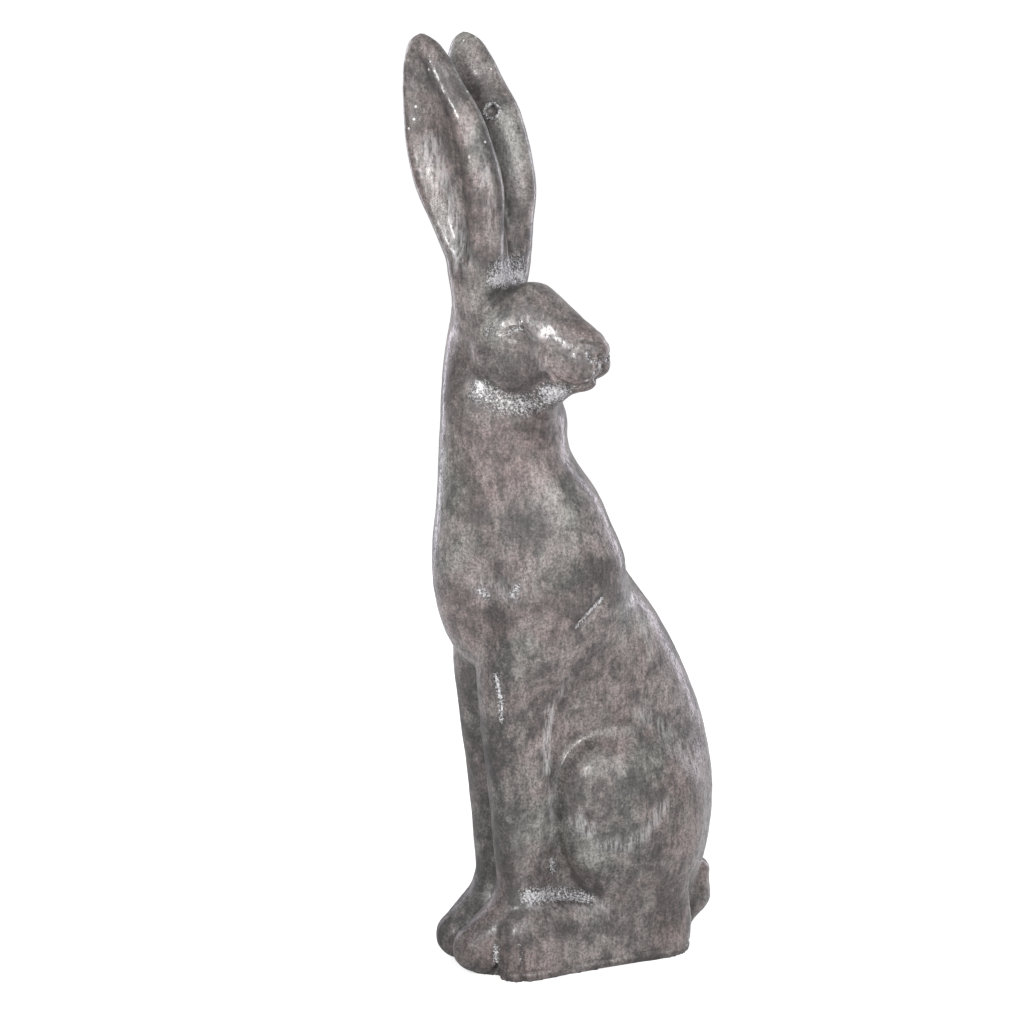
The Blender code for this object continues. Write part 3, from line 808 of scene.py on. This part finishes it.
def low_dirt_and_shade(points, outward):
    """Painted shade on the fronts of the legs turned away from the lights and along the ground edge, and dirt
    with painted shade on the far leg and the paws: 0 to 1.
    """
    x, y, z = points.T
    in_front = smooth_step(-y, 0.060, 0.100)
    # painted shade: the leg fronts that face away from the lights are darker
    facing = smooth_step(-outward[:, 1] - 0.55 * outward[:, 0], -0.45, 0.55)
    legs = 0.85 * smooth_step(-z, -0.38, -0.26) * in_front * facing
    far_leg = 0.70 * smooth_step(-z, -0.36, -0.28) * in_front * smooth_step(-x, -0.012, 0.004)
    beside = smooth_step(-x, -0.056, -0.042)
    paws = smooth_step(-z, -0.125, -0.080) * smooth_step(-y, 0.095, 0.125) * beside
    # painted shade where the skin meets the ground
    ground = 0.60 * smooth_step(-z, -0.014, -0.004)
    return np.maximum.reduce([legs, far_leg, paws, ground])


def add(tree, kind, inputs=None, **settings):
    """A new node with its settings and inputs; an input may be a value or another node's output."""
    node = tree.nodes.new(kind)
    for name, value in settings.items():
        setattr(node, name, value)
    for name, value in (inputs or {}).items():
        if isinstance(value, bpy.types.NodeSocket):
            tree.links.new(value, node.inputs[name])
        else:
            node.inputs[name].default_value = value
    return node


def maths(tree, operation, first, second=0.0):
    """One sum of two values or outputs."""
    return add(tree, "ShaderNodeMath", {0: first, 1: second}, operation=operation).outputs[0]


def ranged(tree, value, low, high, new_low=0.0, new_high=1.0):
    """Ease a value from one range into another."""
    node = add(tree, "ShaderNodeMapRange", {"Value": value, "From Min": low, "From Max": high,
                                            "To Min": new_low, "To Max": new_high},
               interpolation_type="SMOOTHSTEP")
    return node.outputs["Result"]


def cloud(tree, place, scale, detail=4.0, roughness=0.55, distortion=0.0):
    """Noise between 0 and 1."""
    node = add(tree, "ShaderNodeTexNoise", {"Vector": place, "Scale": scale, "Detail": detail,
                                            "Roughness": roughness, "Distortion": distortion})
    return node.outputs["Fac"]


def blended(tree, factor, first, second):
    """Two colours mixed by a factor."""
    return add(tree, "ShaderNodeMix", {0: factor, 6: first, 7: second}, data_type="RGBA").outputs[2]


def turned(tree, place, angles, scale):
    """The place turned and stretched, for marks that run one way."""
    return add(tree, "ShaderNodeMapping", {"Vector": place, "Rotation": angles, "Scale": scale}).outputs[0]


def group_socket(tree, name, kind, default=None, output=False):
    """A named input or output of a node group."""
    socket = tree.interface.new_socket(name, in_out="OUTPUT" if output else "INPUT", socket_type=kind)
    if default is not None:
        socket.default_value = default


def mottling_group():
    """Clouds, stains, strokes and pits of a hand-waxed cement surface, as masks."""
    tree = bpy.data.node_groups.new("waxed cement mottling", "ShaderNodeTree")
    group_socket(tree, "Place", "NodeSocketVector")
    group_socket(tree, "Cloud scale", "NodeSocketFloat", 11.0)
    group_socket(tree, "Grain scale", "NodeSocketFloat", 450.0)
    for name in ("Brown", "Green", "Shade", "Strokes", "Grain", "Sand", "Pits", "Crumbs", "Specks"):
        group_socket(tree, name, "NodeSocketFloat", output=True)
    entry = tree.nodes.new("NodeGroupInput").outputs
    leave = tree.nodes.new("NodeGroupOutput").inputs
    place, scale, grain_scale = entry["Place"], entry["Cloud scale"], entry["Grain scale"]

    def several(share):
        return maths(tree, "MULTIPLY", scale, share)

    brown = cloud(tree, place, several(1.0), 7.0, 0.62, 0.5)
    away = turned(tree, place, (0.4, 0.9, 0.2), (1.0, 1.0, 0.7))
    green = cloud(tree, away, several(1.5), 7.0, 0.6, 0.3)
    broad = cloud(tree, place, several(2.4), 8.0, 0.66, 0.4)
    small = cloud(tree, away, several(9.0), 6.0, 0.7, 0.2)
    shade = add(tree, "ShaderNodeMix", {0: 0.4, 2: broad, 3: small}).outputs[0]
    one_way = cloud(tree, turned(tree, place, (0.30, 0.20, 0.0), (1.0, 1.0, 0.12)), 300.0, 6.0, 0.75)
    other_way = cloud(tree, turned(tree, place, (-0.55, -0.35, 0.4), (1.0, 1.0, 0.20)), 260.0, 6.0, 0.75)
    which = ranged(tree, cloud(tree, place, several(1.9), 2.0), 0.42, 0.58)
    strokes = add(tree, "ShaderNodeMix", {0: which, 2: one_way, 3: other_way}).outputs[0]
    grain = cloud(tree, place, grain_scale, 5.0, 0.8)
    spots = add(tree, "ShaderNodeTexVoronoi", {"Vector": place, "Scale": 260.0})
    pits = ranged(tree, spots.outputs["Distance"], 0.24, 0.10)
    few = ranged(tree, cloud(tree, away, 60.0, 3.0), 0.50, 0.62)
    crumbs = cloud(tree, place, 520.0, 5.0, 0.82)
    sand = maths(tree, "ADD", maths(tree, "MULTIPLY", cloud(tree, away, 380.0, 2.0, 0.6), 0.7),
                 maths(tree, "MULTIPLY", strokes, 0.5))
    dots = add(tree, "ShaderNodeTexVoronoi", {"Vector": place, "Scale": 150.0})
    specks = ranged(tree, dots.outputs["Distance"], 0.20, 0.12)
    chosen = ranged(tree, cloud(tree, place, 45.0, 2.0), 0.54, 0.58)
    for name, value in (
        ("Brown", ranged(tree, brown, 0.40, 0.62)),
        ("Green", ranged(tree, green, 0.47, 0.66)),
        ("Shade", shade),
        ("Strokes", strokes),
        ("Grain", grain),
        ("Sand", sand),
        ("Pits", maths(tree, "MULTIPLY", pits, few)),
        ("Crumbs", crumbs),
        ("Specks", maths(tree, "MULTIPLY", specks, chosen)),
    ):
        tree.links.new(value, leave[name])
    return tree


def waxed_cement(colours):
    """Mottled taupe cement under worn wax, with painted shade darkening the creases and hollows, and pale
    crumbs there that also paint glints.
    """
    material = bpy.data.materials.new("waxed_cement")
    material.use_nodes = True
    tree = material.node_tree
    shader = tree.nodes["Principled BSDF"]
    place = add(tree, "ShaderNodeTexCoord").outputs["Object"]
    marks = add(tree, "ShaderNodeGroup", node_tree=mottling_group())
    tree.links.new(place, marks.inputs["Place"])
    masks = marks.outputs
    # hollow and grime carry painted shade, grime also dirt; wax and smear carry painted glints, highlights and
    # sheen as well as pale wax
    crease, hollow_shade, rim, wax, wax_and_sheen_smear, grime_and_shade = (
        add(tree, "ShaderNodeAttribute", attribute_name=name).outputs["Fac"]
        for name in ("crease", "hollow_shade", "rim", "wax", "wax_and_sheen_smear", "grime_and_shade"))

    def times(first, second):
        return maths(tree, "MULTIPLY", first, second)

    def plus(first, second):
        return maths(tree, "ADD", first, second)

    def within(value, low, high, new_low=0.0, new_high=1.0):
        return ranged(tree, value, low, high, new_low, new_high)

    def largest(first, second):
        return maths(tree, "MAXIMUM", first, second)

    # Clouds of brown and green, lighter and darker by patch, stroke and grain
    colour = blended(tree, times(masks["Brown"], 0.80), (*colours.cement, 1), (*colours.brown, 1))
    colour = blended(tree, times(masks["Green"], 0.80), colour, (*colours.green, 1))
    tone = within(masks["Shade"], 0.41, 0.60, 0.46, 1.66)
    tone = times(tone, within(masks["Strokes"], 0.34, 0.66, 0.76, 1.26))
    tone = times(tone, within(masks["Grain"], 0.38, 0.62, 0.60, 1.46))
    colour = add(tree, "ShaderNodeVectorMath", {0: colour, "Scale": tone}, operation="SCALE").outputs[0]
    # Painted shade in the hollows, dirt and painted shade in the marked places, and dark pits
    soot_and_shade = times(within(hollow_shade, 0.10, 0.75), 0.55)
    patchy = within(masks["Shade"], 0.58, 0.44, 0.78, 1.0)
    patchy = times(patchy, within(masks["Grain"], 0.58, 0.46, 0.74, 1.0))
    soot_and_shade = largest(soot_and_shade, times(grime_and_shade, patchy))
    colour = blended(tree, times(soot_and_shade, 0.86), colour, (*colours.dark, 1))
    speckle = within(masks["Grain"], 0.44, 0.34)
    colour = blended(tree, times(largest(masks["Pits"], speckle), 0.50), colour, (*colours.dark, 1))
    # Pale wax and painted light: worn rims that also carry a painted edge highlight, pale flakes and painted
    # glints in the creases over a gritty dark ground that also paints shade there, painted sheen as brushed
    # streaks, and specks
    worn = times(within(rim, 0.35, 0.85), within(masks["Shade"], 0.46, 0.60))
    crease_wax_and_glint = times(within(crease, 0.35, 0.80), 0.40)
    crease_wax_and_glint = times(crease_wax_and_glint, within(grime_and_shade, 0.35, 0.05))
    left = largest(wax, crease_wax_and_glint)
    heaped = plus(masks["Crumbs"], times(left, 0.20))
    crumbly = times(within(heaped, 0.60, 0.71), within(left, 0.0, 0.30))
    crumbly = largest(crumbly, times(within(wax, 0.80, 1.0), 0.35))
    # dark grit in the creases, also painting their shade
    gritty = times(within(left, 0.05, 0.60), within(masks["Crumbs"], 0.54, 0.43, 0.0, 0.75))
    colour = blended(tree, gritty, colour, (*colours.dark, 1))
    # painted sheen with brushed wax, as pale streaks
    brushed_sheen = times(wax_and_sheen_smear, within(masks["Strokes"], 0.40, 0.62))
    pale = largest(times(crumbly, 0.86), largest(times(brushed_sheen, 0.55), times(worn, 0.10)))
    level = add(tree, "ShaderNodeSeparateXYZ", {0: place}).outputs["Z"]
    high_up = within(level, 0.84 * HEIGHT, 0.92 * HEIGHT, 0.10, 0.95)
    pale = largest(pale, times(masks["Specks"], high_up))
    colour = blended(tree, pale, colour, (*colours.wax, 1))
    tree.links.new(colour, shader.inputs["Base Color"])

    # Gloss: waxed where the cement is light, dull in pits, hollows, dirt and where shade is painted
    rough = within(masks["Shade"], 0.38, 0.62, colours.gloss_high, colours.gloss_low)
    rough = plus(rough, times(masks["Pits"], 0.15))
    rough = plus(rough, times(within(hollow_shade, 0.2, 0.8), 0.12))
    rough = plus(rough, times(grime_and_shade, 0.16))
    rough = maths(tree, "SUBTRACT", rough, times(largest(wax, wax_and_sheen_smear), 0.08))
    tree.links.new(rough, shader.inputs["Roughness"])
    shader.inputs["IOR"].default_value = 1.6
    coat = times(within(masks["Sand"], 0.50, 0.68, 0.15, 1.0), within(grime_and_shade, 0.15, 0.85, 1.0, 0.22))
    tree.links.new(coat, shader.inputs["Coat Weight"])
    shader.inputs["Coat Roughness"].default_value = 0.24
    shader.inputs["Coat IOR"].default_value = 1.55

    # Fine bumps
    height = plus(times(masks["Grain"], 0.60), times(masks["Sand"], 0.60))
    height = plus(height, times(masks["Strokes"], 0.55))
    height = maths(tree, "SUBTRACT", height, times(masks["Pits"], 0.45))
    height = plus(height, times(crumbly, 0.9))
    bump = add(tree, "ShaderNodeBump", {"Height": height, "Strength": 0.60, "Distance": 0.0008})
    tree.links.new(bump.outputs["Normal"], shader.inputs["Normal"])
    material.diffuse_color = (*colours.cement, 1)
    return material


def uneven_skin_tree(material):
    """Geometry nodes that raise low hand-worked waves on a skin, leaving the ground face flat."""
    tree = bpy.data.node_groups.new("uneven cement skin", "GeometryNodeTree")
    group_socket(tree, "Skin", "NodeSocketGeometry")
    group_socket(tree, "Wave height", "NodeSocketFloat", 0.0012)
    group_socket(tree, "Wave scale", "NodeSocketFloat", 26.0)
    group_socket(tree, "Dimple height", "NodeSocketFloat", 0.0006)
    group_socket(tree, "Dimple scale", "NodeSocketFloat", 95.0)
    group_socket(tree, "Skin", "NodeSocketGeometry", output=True)
    entry = tree.nodes.new("NodeGroupInput").outputs
    leave = tree.nodes.new("NodeGroupOutput").inputs
    place = add(tree, "GeometryNodeInputPosition").outputs[0]
    outward = add(tree, "GeometryNodeInputNormal").outputs[0]
    height = None
    for size, scale, detail in (("Wave height", "Wave scale", 2.0), ("Dimple height", "Dimple scale", 3.0)):
        wave = maths(tree, "SUBTRACT", cloud(tree, place, entry[scale], detail), 0.5)
        wave = maths(tree, "MULTIPLY", wave, entry[size])
        height = wave if height is None else maths(tree, "ADD", height, wave)
    level = add(tree, "ShaderNodeSeparateXYZ", {0: place}).outputs["Z"]
    height = maths(tree, "MULTIPLY", height, ranged(tree, level, 0.001, 0.012))
    offset = add(tree, "ShaderNodeVectorMath", {0: outward, "Scale": height}, operation="SCALE").outputs[0]
    moved = add(tree, "GeometryNodeSetPosition", {"Geometry": entry["Skin"], "Offset": offset}).outputs[0]
    real = add(tree, "GeometryNodeRealizeInstances", {"Geometry": moved}).outputs[0]
    coated = add(tree, "GeometryNodeSetMaterial", {"Geometry": real, "Material": material}).outputs[0]
    tree.links.new(coated, leave["Skin"])
    return tree


def number(name, description, default, **limits):
    """A number that a user can change."""
    return FloatProperty(name=name, description=description, default=default, **limits)


def tint(name, description, default):
    """A colour that a user can change."""
    return FloatVectorProperty(
        name=name, description=description, default=default, subtype="COLOR", size=3, min=0, max=1)


class HareSizes(bpy.types.PropertyGroup):
    """Sizes of the hare's skin."""
    spacing: number(
        "Skin spacing", "Distance between points of the skin", 0.0030, min=0.0028, max=0.02, unit="LENGTH")
    quick_spacing: number(
        "Quick spacing", "Distance between points in a quick look", 0.0060, min=0.004, max=0.02, unit="LENGTH")
    wave_height: number("Wave height", "Height of the hand-worked waves", 0.0018, unit="LENGTH")
    dimple_height: number("Dimple height", "Height of the small dimples", 0.0009, unit="LENGTH")


class HareColours(bpy.types.PropertyGroup):
    """Colours and gloss of the waxed cement."""
    cement: tint("Cement", "Taupe grey of the bare skin", (0.150, 0.130, 0.125))
    brown: tint("Brown clouds", "Purplish brown patches", (0.128, 0.096, 0.091))
    green: tint("Green clouds", "Greenish grey patches", (0.140, 0.140, 0.127))
    # the dark colour also paints the shade in hollows, creases and the marked shaded places
    dark: tint("Dark", "Wax and dust gathered in hollows and pits", (0.018, 0.016, 0.016))
    # the pale wax colour also paints glints, sheen and edge highlights
    wax: tint("Pale wax", "Dried wax in the creases", (0.78, 0.77, 0.79))
    gloss_low: number(
        "Glossiest", "Roughness where the wax is thick", 0.26, min=0, max=1, subtype="FACTOR")
    gloss_high: number(
        "Dullest", "Roughness where the wax is worn", 0.44, min=0, max=1, subtype="FACTOR")


class StudioSettings(bpy.types.PropertyGroup):
    """Floor, light and camera of the studio."""
    floor: tint("Floor", "Pale floor", (0.82, 0.82, 0.82))
    floor_glow: number("Floor glow", "Light the camera sees in the white floor", 0.62, min=0)
    sky: number("Room light", "Strength of the even white room", 0.50, min=0)
    key: number("Key light", "Power of the small soft light that makes the glints", 27.0, min=0, unit="POWER")
    front: number("Front light", "Power of the broad light beside the camera", 22.0, min=0, unit="POWER")
    rims: number("Rim lights", "Power of each strip light at the sides", 11.0, min=0, unit="POWER")
    azimuth: number("Camera azimuth", "Angle round the hare from its front", np.radians(65.0), subtype="ANGLE")
    elevation: number("Camera elevation", "Angle above the horizon", np.radians(11.0), subtype="ANGLE")
    distance: number("Camera distance", "From the hare's middle", 3.0 * HEIGHT, min=0.5, unit="LENGTH")
    lens: number("Lens", "Focal length", 98.05, min=10, unit="CAMERA")


class OBJECT_OT_hare_statue(bpy.types.Operator):
    """Make the hare's skin with its waxed cement finish"""
    bl_idname = "object.hare_statue"
    bl_label = "Make the hare"

    def execute(self, context):
        sizes = context.scene.hare_sizes
        spacing = sizes.spacing / HEIGHT
        points, faces, outward = hare_skin(spacing)
        shades = {
            "crease": shelter(points, outward, 0.007),
            # painted shade: how deep each point sits in a hollow, for darkening it
            "hollow_shade": 0.5 * shelter(points, outward, 0.020) + 0.5 * shelter(points, outward, 0.050),
            "rim": thinness(points, outward, 0.010),
            # pale wax with painted glints and highlights, and the painted highlight round the pit
            "wax": np.maximum(marked(points, WAX_AND_GLINT_CRUMBS), pit_rim_highlight(points)),
            # brushed wax and painted sheen
            "wax_and_sheen_smear": marked(points, WAX_AND_SHEEN_SMEARS),
            # painted shade and dirt
            "grime_and_shade": np.maximum(marked(points, GRIME_AND_SHADE), low_dirt_and_shade(points, outward)),
        }
        points = points * HEIGHT
        points[:, 2] = np.where(points[:, 2] < 0.0008, 0.0, points[:, 2])
        points[:, 2] *= HEIGHT / points[:, 2].max()
        middle = (np.array(LOW) + np.array(HIGH)) / 2
        points[:, :2] += middle[:2] - (points[:, :2].min(0) + points[:, :2].max(0)) / 2
        mesh = bpy.data.meshes.new("hare_statue")
        mesh.from_pydata(points.tolist(), [], faces)
        mesh.validate()
        for name, values in shades.items():
            layer = mesh.attributes.new(name, "FLOAT", "POINT")
            layer.data.foreach_set("value", values.astype(np.float32))
        material = waxed_cement(context.scene.hare_colours)
        rough = bpy.data.objects.new("hare_rough", mesh)
        context.scene.collection.objects.link(rough)
        waves = rough.modifiers.new("uneven skin", "NODES")
        waves.node_group = uneven_skin_tree(material)
        heights = {"Wave height": sizes.wave_height, "Dimple height": sizes.dimple_height}
        for item in waves.node_group.interface.items_tree:
            if item.name in heights:
                waves[item.identifier] = heights[item.name]
        finished = bpy.data.meshes.new_from_object(rough.evaluated_get(context.evaluated_depsgraph_get()))
        bpy.data.objects.remove(rough)
        bpy.data.meshes.remove(mesh)
        finished.name = "hare_statue"
        finished.shade_smooth()
        statue = bpy.data.objects.new("hare_statue", finished)
        context.scene.collection.objects.link(statue)
        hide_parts("rabbit_statue")
        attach(statue, "root")
        return {"FINISHED"}


def direction(azimuth, elevation):
    """Unit direction from the hare, by the angle round it from its front and the angle up (radians)."""
    level = np.cos(elevation)
    return Vector((np.sin(azimuth) * level, -np.cos(azimuth) * level, np.sin(elevation)))


def soft_light(name, azimuth, elevation, distance, size, power, aim, colour=(1.0, 1.0, 1.0)):
    """A rectangular soft light shining at the hare, from angles round it in degrees."""
    light = bpy.data.lights.new(name, "AREA")
    light.shape = "RECTANGLE"
    light.size, light.size_y = size
    light.energy = power
    light.color = colour
    lamp = bpy.data.objects.new(name, light)
    back = direction(*np.radians([azimuth, elevation]))
    lamp.location = aim + distance * back
    lamp.rotation_euler = back.to_track_quat("Z", "Y").to_euler()
    bpy.context.scene.collection.objects.link(lamp)


# Studio
FLOOR_REACH = 30.0                    # metres from the hare to the floor's edges
VIEW_MIDDLE = (-0.0145, 0.017, 0.486)  # share of the height; the view turns about it
KEY_AIM = 0.15                        # metres above it that the key light points at
LILAC = (0.92, 0.88, 1.0)             # tint of the strip lights
SENSOR = 36.0                         # camera sensor width, millimetres
PICTURE_SIDE = 1024                   # pixels
HARE_RIGHT, HARE_BELOW = 68, 4.5      # pixels from the picture's middle to the hare's


class OBJECT_OT_hare_studio(bpy.types.Operator):
    """Make the pale floor, the soft lights and the camera"""
    bl_idname = "object.hare_studio"
    bl_label = "Make the studio"

    def execute(self, context):
        settings = context.scene.hare_studio
        ground = bpy.data.meshes.new("studio_floor")
        reach = FLOOR_REACH
        corners = [(-reach, -reach, 0), (reach, -reach, 0), (reach, reach, 0), (-reach, reach, 0)]
        ground.from_pydata(corners, [], [(0, 1, 2, 3)])
        floor = bpy.data.objects.new("studio_floor", ground)
        context.scene.collection.objects.link(floor)
        paint = bpy.data.materials.new("studio_floor")
        paint.use_nodes = True
        shader = paint.node_tree.nodes["Principled BSDF"]
        shader.inputs["Base Color"].default_value = (*settings.floor, 1)
        shader.inputs["Roughness"].default_value = 0.9
        shader.inputs["Specular IOR Level"].default_value = 0.1
        shader.inputs["Emission Color"].default_value = (1, 1, 1, 1)
        seen = add(paint.node_tree, "ShaderNodeLightPath").outputs["Is Camera Ray"]
        glow = ranged(paint.node_tree, seen, 0.0, 1.0, 0.0, settings.floor_glow)
        paint.node_tree.links.new(glow, shader.inputs["Emission Strength"])
        ground.materials.append(paint)

        world = bpy.data.worlds.new("white_room")
        world.use_nodes = True
        backdrop = world.node_tree.nodes["Background"]
        backdrop.inputs["Color"].default_value = (1, 1, 1, 1)
        seen = add(world.node_tree, "ShaderNodeLightPath").outputs["Is Camera Ray"]
        strength = ranged(world.node_tree, seen, 0.0, 1.0, settings.sky, 1.1)
        world.node_tree.links.new(strength, backdrop.inputs["Strength"])
        context.scene.world = world
        context.scene.view_settings.view_transform = "Standard"

        middle = Vector(VIEW_MIDDLE) * HEIGHT
        soft_light("key_light", 42, 20, 2.4, (0.34, 0.42), settings.key, middle + Vector((0, 0, KEY_AIM)))
        soft_light("front_light", 92, 28, 2.4, (1.6, 1.6), settings.front, middle)
        soft_light("right_strip", -165, 12, 2.2, (0.5, 1.8), settings.rims, middle, LILAC)
        soft_light("left_strip", -68, 12, 2.2, (0.4, 1.8), settings.rims, middle, LILAC)

        lens = bpy.data.cameras.new("camera")
        lens.lens = settings.lens
        lens.sensor_width = SENSOR
        camera = bpy.data.objects.new("camera", lens)
        context.scene.collection.objects.link(camera)
        back = direction(settings.azimuth, settings.elevation)
        right = Vector((np.cos(settings.azimuth), np.sin(settings.azimuth), 0))
        up = back.cross(right)
        camera.location = middle + settings.distance * back
        pixel = settings.distance * SENSOR / settings.lens / PICTURE_SIDE
        aim = middle - HARE_RIGHT * pixel * right + HARE_BELOW * pixel * up
        camera.rotation_euler = (camera.location - aim).to_track_quat("Z", "Y").to_euler()
        context.scene.camera = camera
        return {"FINISHED"}


class VIEW3D_PT_hare(bpy.types.Panel):
    """Sizes, colours and steps of the hare statue"""
    bl_label = "Hare garden statue"
    bl_space_type = "VIEW_3D"
    bl_region_type = "UI"
    bl_category = "Hare"

    def draw(self, context):
        for group in (context.scene.hare_sizes, context.scene.hare_colours, context.scene.hare_studio):
            box = self.layout.box()
            for name in group.__annotations__:
                box.prop(group, name)
        self.layout.operator("object.hare_statue")
        self.layout.operator("object.hare_studio")


CLASSES = (
    HareSizes,
    HareColours,
    StudioSettings,
    OBJECT_OT_hare_statue,
    OBJECT_OT_hare_studio,
    VIEW3D_PT_hare,
)


def register():
    for item in CLASSES:
        bpy.utils.register_class(item)
    bpy.types.Scene.hare_sizes = PointerProperty(type=HareSizes)
    bpy.types.Scene.hare_colours = PointerProperty(type=HareColours)
    bpy.types.Scene.hare_studio = PointerProperty(type=StudioSettings)


def unregister():
    for name in ("hare_sizes", "hare_colours", "hare_studio"):
        delattr(bpy.types.Scene, name)
    for item in reversed(CLASSES):
        bpy.utils.unregister_class(item)


def main():
    register()
    bpy.ops.object.hare_statue()
    bpy.ops.object.hare_studio()


if __name__ == "__main__":
    main()
